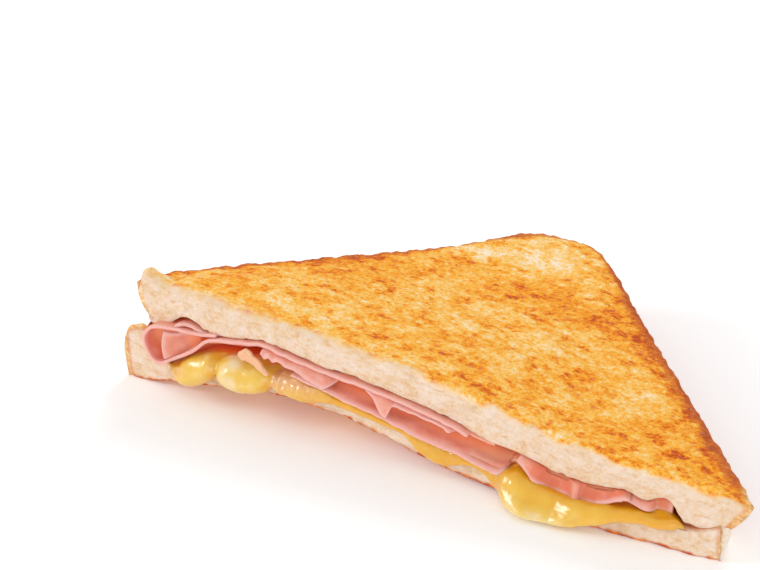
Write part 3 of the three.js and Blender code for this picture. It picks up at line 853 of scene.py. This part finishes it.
def over_the_edge(q, v, back, height, edge, turn, radius, tip):
    """A layer's surface: for v up to FLAT it comes from `back` to `edge` at `height`, then it follows
    an arc of `radius` through `turn` and a straight end of length `tip`."""
    y_flat = mix(back, edge, np.minimum(v / FLAT, 1))
    x = carried(q, y_flat)
    run = (turn * radius + tip) * beyond_flat(v)
    angle = np.minimum(run, turn * radius) / radius
    straight = np.maximum(0, run - turn * radius)
    y = y_flat - radius * np.sin(angle) - straight * np.cos(angle)
    z = height(q, x, y_flat) - radius * (1 - np.cos(angle)) - straight * np.sin(angle)
    return stacked(x, y, z)


def sheet_grid(start, end, columns, inner_rows=26, outer_rows=34):
    """A layer's places along the cut, from start to end, and its shares v from back to front, packed
    towards its outer end."""
    q = np.linspace(start, end, columns)
    v_in = FLAT * np.linspace(0, 1, inner_rows, endpoint=False) ** 0.7
    v_out = FLAT + (1 - FLAT) * np.sin(np.linspace(0, np.pi / 2, outer_rows))
    return np.meshgrid(q, np.concatenate([v_in, v_out]), indexing="ij")


# %% Shape of the cheese along the cut
CHEESE_FROM, CHEESE_TO = -66.2, 70.5  # its ends along the cut
CHEESE_BACK = 56.0  # how far it reaches in
CHEESE_BEND = 1.0  # radius of its underside where it bends over the edge
CHEESE_LIFT = 0.12  # how much more than the gap it keeps from the lower slice further in
THINNEST_CHEESE = 0.12  # where the film runs out
EVENING_PASSES = 300  # times that its normals are averaged with their neighbours

# How far from the cut the sheet starts to bend, and the height of its foot.
cheese_edge = profile([[-34, 0.6], [-31, 0.1], [-20, 0.1], [-16, -0.7], [0, -0.7], [5, 0.6]])
cheese_foot = profile([
    [-66.4, 8.4], [-65.4, 6.4], [-64.0, 4.6], [-61.8, 3.4], [-58.6, 3.1], [-55.2, 4.2], [-51.7, 6.2],
    [-49.8, 8.2], [-48.8, 8.0], [-47.2, 6.6], [-45, 6.0], [-41.9, 5.9], [-38, 6.5], [-35.4, 7.8], [-34, 9.2],
    [-32, 9.2], [-30, 8.7], [-26, 8.4], [-22, 8.7], [-18, 9.5], [-14, 10.1], [-5, 9.2], [2, 7.2], [4, 5.4],
    [6.5, 3.6], [9.5, 2.8], [12.5, 2.7], [14.5, 3.3], [17, 4.3], [20, 4.8], [23, 4.2], [25, 2.8], [27, 1.1],
    [28.4, 0.5], [30, 0.35], [46, 0.35], [49, 1.0], [52, 2.0], [56.8, 3.6], [61.5, 4.6], [65.4, 4.4],
    [69, 5.2], [70.5, 6.4],
])
# Its thickness outside the bend, between the two lobes, and how high it is heaped before the bend.
cheese_front = profile([
    [-65, 0.4], [-54, 1.2], [-49, 1.6], [-42, 1.2], [-35, 1.2], [-33, 1.7], [-30, 2.2], [-24, 2.3],
    [-18, 1.8], [-13, 1.3], [3, 1.2], [9, 1.6], [14, 1.4], [20, 1.2], [25, 1.3], [27.6, 1.6], [29.2, 3.2],
    [31, 4.8], [34, 6.3], [38, 6.4], [42, 5.5], [46, 4.2], [51, 3.0], [57, 2.1], [65, 1.9], [69, 1.3],
    [70.5, 0.5],
])
cheese_heap = profile([
    [-64, 0], [-60.5, -0.8], [-56, -0.2], [-50, 0.3], [-40, 0.6], [-35, 0.4], [-30, 0], [27, 0],
    [29.4, 0.8], [31.2, 1.5], [34, 1.0], [38, 0.1], [50, 0], [56, 0.9], [60, 1.2], [64, 0.5], [68, 0.7],
    [70.5, 0.2],
])
LOBES = [(-58.6, 10.2, 3.0), (-40.7, 10.6, 3.0)]  # place, half width, thickness added
DRIP_FROM, DRIP_TO = 28, 48  # the drip that reaches the table

# %% Thickness and grids of the cheese
def cheese_sheet(q, y):
    """Thickness of the cheese before it runs: thick at the left, thin in the middle and right, and
    less further in, with one heap that shows behind the right end of the ham."""
    at_cut = 0.4 + 3.3 * smooth(q, -66, -57) - 1.8 * smooth(q, -30, -6) - 1.15 * smooth(q, 5, 26)
    behind = 1.2 * hill(q, 65, 2.6) * hill(y, 5, 2.5)
    return at_cut * (1 - 0.45 * smooth(y, 4, 30)) + behind


def cheese_bed(q, x, y):
    """Underside of the cheese on the lower slice."""
    return lower_top(x, np.maximum(0, y)) + GAP + CHEESE_LIFT * smooth(y, 1, 5)


def cheese_top(q, x, y):
    """Upper side of the cheese on the lower slice."""
    return lower_top(x, y) + GAP + CHEESE_LIFT + cheese_sheet(q, y)


def melted_cheese():
    """The cheese's lower and upper grids. The lower one bends over the slice's edge and ends at the
    foot. The upper one is the lower one plus, along its evened normal, a thickness that goes from the
    sheet's to the front's, and is rounded at the foot and both ends as a quarter of an ellipse."""
    q, v = sheet_grid(CHEESE_FROM, CHEESE_TO, 430, 34, 60)
    edge = cheese_edge(q)
    drop = np.maximum(lower_top(q, 0 * q) + GAP - cheese_foot(q), 0.1)
    turn = np.arccos(np.clip(1 - drop / CHEESE_BEND, 0, 1))
    tip = np.maximum(drop - CHEESE_BEND, 0)
    lower = over_the_edge(q, v, CHEESE_BACK, cheese_bed, edge, turn, CHEESE_BEND, tip)
    depth = mix(CHEESE_BACK, edge, np.minimum(1, v / FLAT))
    run = turn * CHEESE_BEND + tip
    past = np.where(v < FLAT, edge - depth, run * beyond_flat(v))  # mm beyond the bend's start
    in_drip = smooth(q, DRIP_FROM, DRIP_FROM + 3) * fade(q, DRIP_TO - 6, DRIP_TO)
    front = cheese_front(q) + np.sqrt(sum((t * dome(q, at, half)) ** 2 for at, half, t in LOBES))
    sheet = cheese_sheet(q, depth) + cheese_heap(q) * smooth(past, -5, -0.6)
    on_lobe = np.clip(sum(dome(q, at, half) for at, half, _ in LOBES), 0, 1)
    thick = mix(sheet, front, smooth(past, -0.4 + 0.9 * on_lobe, 2.0 + 2.2 * on_lobe + 2.2 * in_drip))
    from_end = np.minimum(q - CHEESE_FROM, CHEESE_TO - q)
    thick = thick * quarter_round((run - past) / (1.3 + 1.9 * on_lobe))
    thick = thick * quarter_round(from_end / 1.6) * smooth(v, -0.02, 0.05)
    film = smooth(q, -34.5, -32) * fade(q, -24, -16) * smooth(past, -6, -2)
    lumps = 0.1 * noise(lower, (4, 4, 3), 41) + 0.04 * noise(lower, 1.6, 42)
    thick = np.maximum(THINNEST_CHEESE, thick * (1 + lumps))
    out = normals(lower)
    for _ in range(EVENING_PASSES):
        out[1:-1] = (out[:-2] + 2 * out[1:-1] + out[2:]) / 4
    upper = lower + unit(out) * thick[..., None]
    wrinkled = np.maximum(film, 0.8 * hill(q, 11, 9) * smooth(past, -1, 0))
    wrinkles = 0.2 * noise(upper, (2.2, 1.4, 0.9), 43) + 0.14 * noise(upper, 0.8, 44)
    ripples = 0.2 * noise(upper, (4, 2.6, 3), 45) + 0.07 * noise(upper, 1.2, 46)
    relief = smooth(thick, 0.3, 1.2) * (wrinkled * wrinkles + ripples)
    upper = upper + normals(upper) * relief[..., None]
    amounts = {
        "thick": np.clip(thick / 5, 0, 1) * (1 - 0.15 * in_drip),
        "film": film * fade(past, 0.2, 1.8),
        # Painted light and shade: the hollow behind the lobes, back from the cut, is painted orange
        "painted_hollow_light": smooth(depth, 1.2, 4) * fade(q, -34, -28),
    }
    return bowed(lower, lower_step), bowed(upper, lower_step), amounts


# %% Cheese material
def processed_cheese():
    """Warm yellow, creamier where it is thick, pinkish in the wrinkled film, painted orange in the
    hollow behind the lobes for the warm light and shade there, translucent and wet."""
    material, tree, place = new_material("melted_mild_cheese")
    thick, film, painted_hollow_light = attributes_of(tree, "thick", "film", "painted_hollow_light")
    cloud = speckled(tree, place, 4, 3)
    cream = scaled(tree, cloud, 0.6, scaled(tree, thick, 0.9, -0.28))
    colour = add(tree, "ValToRGB", {0: cream}, [
        (0.25, "#E6A612"), (0.92, "#EFD8A6"), (0.5, "#E9B628"), (0.74, "#ECC452"),
    ])
    colour = mixed(tree, colour, film, linear("#E6B078"))
    # Painted warm light and shade in the hollow behind the lobes
    colour = mixed(tree, colour, painted_hollow_light, linear("#FF8A48"))
    end_material(tree, {
        "Base Color": colour, "Roughness": 0.35, "IOR": 1.46, "Specular IOR Level": 0.35,
        "Subsurface Weight": 0.5, "Subsurface Radius": (1.0, 0.6, 0.2), "Subsurface Scale": 2.5 * MM,
        "Normal": bumped(tree, speckled(tree, place, 1.6, 4, 0.6), 0.3, 0.4),
        "Coat Weight": 1.0, "Coat Roughness": 0.15, "Coat IOR": 1.6,
        "Coat Normal": bumped(tree, speckled(tree, place, 1.1, 3, 0.6), 0.15, 0.6),
    })
    return material


cheese = rimmed_layer("melted_cheese", *melted_cheese())
finish_piece(cheese, processed_cheese(), "melted_cheese", "cheese")

# %% [markdown]
# ## Ham
# Thin slices of cooked ham lie between the cheese and the upper slice, folded as they were dropped
# in: one long slice that sags over the cheese, one whose edge hangs like a curtain, one folded at the
# right, and one rolled so that it shows a loop at the left. They are the same kind of layer as the
# cheese, with an even thickness, a rounded edge and gentle waves. Simulated cloth could fold them,
# but then the folds wouldn't fall where the solids have them.

# %% Ham sheets
HAM_THICK = 0.8  # of one slice
CUT_EDGE = 0.25  # how far in from its rim a slice of ham is rounded
TORN = 1.6  # how far in the unevenness of a torn front edge reaches


def slack(y):
    """Inside the sandwich the sheets keep a little further from what they lie against."""
    return 0.3 * smooth(y, 1.5, 6)


def over_cheese(q, x, y):
    """Height of a sheet's middle that lies on the cheese."""
    return cheese_top(q, x, y) + GAP + HAM_THICK / 2 + slack(y)


def under_bread(x, y, layers):
    """Height of a sheet's middle under the upper slice, below that many other sheets."""
    return upper_under(x, y) - GAP - HAM_THICK / 2 - slack(y) - layers * (HAM_THICK + GAP)


def ham_layer(name, middle, seed, fat, painted_fold_shade):
    """A sheet's two grids: its middle surface, gently waved and ragged along its front edge, plus and
    minus half its thickness along the normal. The thickness falls to nothing at the rim as an
    ellipse's quarter does. `fat` says how fatty the whole sheet is, and `painted_fold_shade` how much
    red shade is painted between its folds and in the hollow at its right end."""
    wave = 0.16 * noise(middle, (5, 5, 5), seed) + 0.07 * noise(middle, 1.8, seed + 1)
    up = normals(middle)
    middle = middle + up * wave[..., None]
    forward = unit(np.gradient(middle, axis=1))
    front, along = middle[:, -1:], lengths(middle, 1)
    torn = 0.2 * noise(front, (2.6, 9, 9), seed + 20) + 0.09 * noise(front, (0.7, 9, 9), seed + 21)
    middle = middle + forward * (torn * fade(along[:, -1:] - along, 0, TORN))[..., None]
    across, along = lengths(middle, 0), lengths(middle, 1)
    rim = np.minimum.reduce([across, across[-1] - across, along[:, -1:] - along])
    half = (0.02 + HAM_THICK / 2 * quarter_round(rim / CUT_EDGE))[..., None]
    x, y = middle[..., 0], middle[..., 1]
    # Painted light: how far back a point lies in the hollows behind the front edge, which are painted a
    # lighter colour and glow
    painted_hollow_light = np.maximum(smooth(y - y[:, -1:], 1.7, 4.8), smooth(y, 0.4, 3.2))
    # Painted shade: red in the right sheet's hollows between its folds and at its right end, where the
    # painted light is taken back
    at_end = painted_fold_shade * smooth(x, 60, 64)
    red = painted_fold_shade * smooth(x, 32, 37) * fade(x, 55, 58) * (1 - 0.8 * hill(x, 45.2, 1.0)) + at_end
    amounts = {"rim": fade(rim, 0.3, 1.4), "painted_hollow_light": painted_hollow_light * (1 - 0.7 * at_end), "painted_fold_shade": red}
    amounts["fat"] = np.full(rim.shape, fat)
    return rimmed_layer(name, middle - up * half, middle + up * half, amounts)


# %% The three laid sheets
DROOP = 1.2  # radians of an ellipse that a drooping edge follows


def drooping(q, v, back, height, run_up, front_y, front_z):
    """A sheet's middle: flat at `height` from `back` to `run_up` mm before its front, then along part
    of an ellipse to its front edge, which lies at front_y and front_z."""
    edge = front_y + run_up
    y_flat = mix(back, edge, np.minimum(v / FLAT, 1))
    x = carried(q, y_flat)
    flat = height(q, x, y_flat)
    angle = DROOP * beyond_flat(v)
    y = y_flat - run_up * np.sin(angle) / np.sin(DROOP)
    z = flat + (front_z - flat) * (1 - np.cos(angle)) / (1 - np.cos(DROOP))
    return stacked(x, y, z)


def lower_ham():
    """The lowest sheet: on the cheese, sagging out over it, with a crease at the right where it folds,
    and drawn back behind the drip."""
    q, v = sheet_grid(-28, 66.5, 380)
    front_y = profile([
        [-28, -1.6], [-18, -2.0], [20, -2.2], [26.6, -2.2], [28, -1.2], [29.3, 1.6], [31, 2.4], [66.5, 3.0],
    ])
    front_z = profile([
        [-28, 14.2], [-24, 13.6], [-19, 13.0], [-14.2, 12.1], [-9.2, 11.6], [-4.2, 10.6], [0.8, 9.6],
        [5.7, 8.5], [10.7, 7.8], [15.7, 7.3], [20.7, 6.3], [24.6, 5.6], [27, 5.6], [28.6, 6.6], [31, 7.2],
        [48, 6.6], [66.5, 6.6],
    ])
    middle = drooping(q, v, 44, over_cheese, 2.4, front_y(q), front_z(q))
    middle[..., 1] += 1.1 * hill(q, 23, 4.5) * hill(beyond_flat(v), 0.62, 0.17)
    return middle


def middle_ham():
    """The middle sheet: its edge hangs like a short curtain, with a gap and one long fold."""
    q, v = sheet_grid(-36.5, 25, 420)
    front_y = profile([
        [-36, -1.4], [-19.5, -2.0], [-17.8, -1.8], [-17.1, 0.4], [-16.3, 2.6], [-14.8, 2.6], [-14.1, 0.9],
        [-9.5, 0.6], [-7.9, -0.4], [-5.3, -1.2], [-2.8, -2.2], [-1.2, -2.2], [-0.6, -1.2], [12.5, -1.3],
        [14.3, -1.6], [15.4, 0.4], [18, 1.4], [25, 2.0],
    ])
    front_z = profile([
        [-36.5, 17.4], [-35.2, 16.6], [-34, 17.1], [-32.8, 16.3], [-31.6, 16.7], [-29, 16.2], [-26.5, 15.8],
        [-23.5, 14.8], [-19.5, 13.8], [-17.8, 14.0], [-16.9, 15.2], [-16.3, 15.9], [-9.5, 15.7], [-7.9, 15.4],
        [-5.3, 13.9], [-3.0, 12.0], [-1.8, 11.3], [-1.3, 11.6], [-0.7, 13.5], [5.5, 13.2], [9.5, 12.8],
        [12.5, 12.2], [14.4, 11.6], [15.4, 12.3], [20, 10.6], [25, 9.8],
    ])
    return drooping(q, v, 42, lambda q, x, y: under_bread(x, y, 1) + 0.2, 2.2, front_y(q), front_z(q))


def right_ham():
    """The sheet at the right: a curtain from the upper slice down into the cheese, with two hollows
    between three ridges, and past its last ridge a part that hangs further in."""
    q, v = sheet_grid(31.2, 69.2, 300)
    fold = 0.9 * hill(q, 35.4, 1.5) + 1.0 * hill(q, 45.4, 0.8) + 0.8 * hill(q, 57.0, 1.6)
    front_y = -0.9 - fold * fade(q, 57.6, 58.4) + 0.4 * smooth(q, 57.6, 58.4) + 2 * smooth(q, 62, 66)
    front_z = profile([
        [31.2, 9.4], [33, 8.2], [35, 7.0], [37, 5.9], [39, 5.2], [50, 5.1], [52, 5.8], [54, 6.9], [56, 8.3],
        [57.4, 9.2], [58.4, 8.2], [61, 7.4], [64, 6.8], [69.2, 6.8],
    ])
    middle = drooping(q, v, 36, lambda q, x, y: under_bread(x, y, 0), 1.5, front_y, front_z(q))
    middle[..., 1] += 1.5 * np.sin(np.pi * beyond_flat(v)) * (hill(q, 40.6, 3.0) + hill(q, 51, 3.6))
    return middle


# %% The rolled sheet
# The loop: its front edge's x, z and y, and further in its place along the cut and share of the height.
LOOP = np.array([
    (-49.0, 18.3, -0.9, -50.5, 0.78), (-53.7, 17.7, -1.3, -55.5, 0.80), (-59.2, 17.7, -1.9, -61, 0.83),
    (-63.7, 17.6, -2.4, -66.5, 0.90), (-67.3, 16.7, -2.8, -69.8, 0.82), (-69.4, 14.0, -3.0, -71.3, 0.55),
    (-68.8, 10.7, -3.0, -71, 0.28), (-66.9, 8.3, -2.9, -69, 0.06), (-64.8, 8.0, -2.7, -67, 0.01),
    (-63.1, 8.9, -2.4, -64.8, 0.12), (-60.5, 10.3, -2.1, -61.8, 0.32), (-57.3, 12.1, -1.8, -58.5, 0.48),
    (-54.5, 14.0, -1.6, -55.5, 0.55), (-52.0, 16.1, -1.4, -52.5, 0.57), (-48.8, 17.4, -1.3, -49.8, 0.64),
    (-44.9, 17.9, -1.2, -47, 0.86), (-41.4, 18.5, -1.1, -44, 1.0),
])
JOINS_BAND, BAND_END = -44.0, 18.5  # the band under the upper slice, along the cut
LOOP_SHARE = 0.56  # share of the rolled sheet's columns that the loop takes


def between(x, y, share):
    """Height a share of the way from the lower slice to just under the upper one."""
    low = lower_top(x, y) + GAP + HAM_THICK / 2 + slack(y)
    return mix(low, under_bread(x, y, 0), share)


def even_curve(points, shares):
    """Points at shares of the length of a smooth curve through control points (uniform Catmull-Rom).
    The length counts the first two columns only, and the others follow."""
    padded = np.concatenate([2 * points[:1] - points[1:2], points, 2 * points[-1:] - points[-2:-1]])
    t = np.linspace(0, len(points) - 1 - 1e-9, 2000)
    i = t.astype(int)
    f = (t - i)[:, None]
    a, b, c, d = (padded[i + k] for k in range(4))
    curve = 0.5 * (2 * b + (c - a) * f + (2 * a - 5 * b + 4 * c - d) * f**2 + (3 * b - a - 3 * c + d) * f**3)
    length = lengths(curve[:, :2], 0)
    return at_lengths(curve, length, np.clip(shares, 0, 1) * length[-1])


def rolled_ham():
    """The rolled sheet. In front it follows the loop, from 5 mm in it follows the loop's shares of the
    filling's height, and in between it goes from one to the other. Past the loop it is a band under
    the upper slice. Depth runs from 36 mm at v = 0 to the front edge at v = 1."""
    u, v = np.meshgrid(np.linspace(0, 1, 520), np.sin(np.linspace(0, np.pi / 2, 60)), indexing="ij")
    bent = even_curve(LOOP, u / LOOP_SHARE)
    on_band = np.clip((u - LOOP_SHARE) / (1 - LOOP_SHARE), 0, 1)
    past = on_band > 0
    q = np.where(past, mix(JOINS_BAND, BAND_END, on_band), bent[..., 3])
    share = np.where(past, 1, bent[..., 4])
    y = mix(36, bent[..., 2], v)
    x = carried(q, y)
    z = between(x, np.maximum(0, y), share)
    front_x = np.where(past, q + 2.6 * fade(on_band, 0, 0.2), bent[..., 0])
    front_z = np.where(past, under_bread(front_x, 0, 0), bent[..., 1])
    inner = smooth(y, -0.5, 6)
    return stacked(mix(front_x, x, inner), y, mix(front_z, z, inner))


# %% The fold inside the roll, a tip and a shred
SHRED = np.array([
    (-41.9, -1.4, 16.3, 0.9), (-40.6, -1.7, 16.5, 2.7), (-39, -2.0, 16.4, 2.6), (-37, -2.4, 16.0, 2.0),
    (-35.5, -2.7, 15.2, 1.9), (-34, -3.0, 14.4, 1.2), (-32.8, -3.0, 13.8, 0.5),
])


def small_grid(columns, rows):
    """Even shares u and v."""
    return np.meshgrid(np.linspace(0, 1, columns), np.linspace(0, 1, rows), indexing="ij")


def ham_fold():
    """The fold inside the loop: a wall from its lower to its upper leg, curving inwards."""
    u, v = small_grid(60, 60)
    x = mix(-63.5, -57.5, u) - 0.7 * np.sin(np.pi * v) * (1 - u) + 0.6 * (v - 0.5) * (1 - u)
    y = -2.5 + 6.5 * u**1.3
    low, high = mix(9.6, 11.6, u), mix(16.8, 15.2, u)
    return stacked(x, y, mix(low, high, v))


def ham_tip():
    """The end of one more slice, on the roll's upper leg under the arch of the bread."""
    u, v = small_grid(80, 60)
    q = mix(-60.6, -52.6, u)
    y = mix(5, -1.5 + 1.2 * u, v)
    x = carried(q, y)
    return stacked(x, y, between(x, np.maximum(0, y), 0.93 + 0.05 * u))


def ham_shred():
    """A torn, fatty shred that leans from the roll down onto the second lobe of cheese, ragged along
    its sides and lumpy. The columns of SHRED are x, y, z and width."""
    u, v = small_grid(150, 44)
    line = even_curve(SHRED, u)
    ragged = 1 + 0.12 * np.sin(15 * u + 4 * v) + 0.22 * noise(line[..., :3], (1.1, 9, 9), 71)
    across = line[..., 3] * ragged * (v - 0.5)
    flat = line[..., :3] + across[..., None] * [0.3, 0, 1]
    lumps = 0.28 * noise(flat, (1.3, 9, 0.8), 72)
    return flat + lumps[..., None] * [0.3, -1, 0.2]


# %% Ham material
def cooked_ham():
    """Pink lean meat, paler at its cut rim, moist and translucent. In its hollows it is painted a lighter
    peach and glows a faint red: painted light that stands in for the light that many thin layers of
    meat pass on. A red shade is painted between the right sheet's folds."""
    material, tree, place = new_material("cooked_ham")
    rim, painted_hollow_light, fat, painted_fold_shade = attributes_of(tree, "rim", "painted_hollow_light", "fat", "painted_fold_shade")
    muscle = speckled(tree, place, 3.5, 4, 0.6)
    colour = add(tree, "ValToRGB", {0: muscle}, [(0.3, "#E48A74"), (0.72, "#EFB09D"), (0.5, "#E99C86")])
    # Painted light and shade among these: a lighter peach in the hollows and a red shade between the right
    # sheet's folds
    for share, other in ((painted_fold_shade, "#E27A5A"), (rim, "#EDB3A9"), (painted_hollow_light, "#FFC49C"), (fat, "#EDB78E")):
        colour = mixed(tree, colour, share, linear(other))
    end_material(tree, {
        "Base Color": colour, "Roughness": 0.38, "IOR": 1.42, "Specular IOR Level": 0.4,
        "Subsurface Weight": 0.35, "Subsurface Radius": (1.0, 0.4, 0.25), "Subsurface Scale": 2.0 * MM,
        "Normal": bumped(tree, speckled(tree, place, 0.8, 3), 0.15, 0.35),
        # Painted light: a faint red glow in the hollows
        "Emission Color": linear("#FF6E44"), "Emission Strength": scaled(tree, painted_hollow_light, 0.08),
    })
    return material


ham = cooked_ham()
HAM_SEED = 50  # the noises of the first sheet start from it
HAM_PIECES = [
    ("lower_ham", "ham_lower", lower_ham()),
    ("middle_ham", "ham_middle", middle_ham()),
    ("right_ham", "ham_right", right_ham()),
    ("rolled_ham", "ham_roll", rolled_ham()),
    ("folded_ham", "ham_fold", ham_fold()),
    ("ham_slice_tip", "ham_tip", ham_tip()),
    ("torn_shred", "ham_shred", ham_shred()),
]
for number, (name, node, surface) in enumerate(HAM_PIECES):
    # Only the right sheet has red shade painted between its folds
    fat, painted_fold_shade = float(name == "torn_shred"), float(name == "right_ham")
    layer = ham_layer(name, surface, HAM_SEED + 2 * number, fat, painted_fold_shade)
    finish_piece(layer, ham, "cooked_ham", node)

# %% [markdown]
# ## Floor, light and camera
# The sandwich lies in a bright studio on a pale seamless floor, which glows faintly so that it stays
# white. Two soft lights, one at the front left and one behind, give the highlights on the cheese and
# only a faint shadow. A broad one in front lights the hollows of the filling, and a white world fills
# the rest. The camera is a long lens from a little above. Painted shadows would be quicker, but they
# would be wrong from every other side.

# %% Floor
FLOOR_SIZE = 6.0  # metres
PAPER_GLOW = 0.1  # light that the paper gives off by itself
floor_mesh = bpy.data.meshes.new("studio_floor")
far = FLOOR_SIZE / 2
floor_mesh.from_pydata([(-far, -far, 0), (far, -far, 0), (far, far, 0), (-far, far, 0)], [], [(0, 1, 2, 3)])
floor = placed("studio_floor", floor_mesh)

paper, tree, _ = new_material("matte_white_paper")
end_material(tree, {
    "Base Color": linear("#FCFCFC"), "Roughness": 0.9,
    "Emission Color": (1, 1, 1, 1), "Emission Strength": PAPER_GLOW,
})
floor_mesh.materials.append(paper)
print("floor of", FLOOR_SIZE, "m")

# %% Light
LIT_POINT = Vector((0, 0, 0.01))  # the point that the lights face, in metres
WORLD_STRENGTH = 0.68  # light from all round


def softbox(name, place, size, watts):
    """A round area light that faces the sandwich."""
    lamp = bpy.data.lights.new(name, "AREA")
    lamp.shape = "DISK"
    lamp.size = size
    lamp.energy = watts
    thing = placed(name, lamp)
    thing.location = place
    thing.rotation_euler = (LIT_POINT - Vector(place)).to_track_quat("-Z", "Y").to_euler()


softbox("key_softbox", (-0.95, -0.50, 0.55), 0.4, 3.8)
softbox("back_softbox", (-0.15, 0.85, 0.80), 0.5, 3.6)
softbox("front_softbox", (0.60, -0.85, 0.30), 1.0, 3.2)
world = bpy.data.worlds.new("studio")
world.use_nodes = True
background = world.node_tree.nodes["Background"]
background.inputs["Color"].default_value = (1, 1, 1, 1)
background.inputs["Strength"].default_value = WORLD_STRENGTH
bpy.context.scene.world = world
bpy.context.scene.view_settings.view_transform = "Standard"
print("three soft lights and a world of", WORLD_STRENGTH)

# %% Camera
CAMERA_PLACE = (229.9, -324.5, 241.6)  # in cut coordinates
CAMERA_AZIMUTH, CAMERA_ELEVATION, CAMERA_ROLL = 35.65, 26.53, -3.13  # degrees
camera_data = bpy.data.cameras.new("long_lens")
camera_data.lens = 100
camera_data.sensor_width = 36
camera = placed("long_lens", camera_data)
camera.location = Vector(to_frame(CAMERA_PLACE))
aim = Euler((math.radians(90 - CAMERA_ELEVATION), 0, math.radians(CAMERA_AZIMUTH))).to_quaternion()
camera.rotation_mode = "QUATERNION"
camera.rotation_quaternion = aim @ Quaternion((0, 0, 1), math.radians(CAMERA_ROLL))
bpy.context.scene.camera = camera
print("camera at", camera.location)
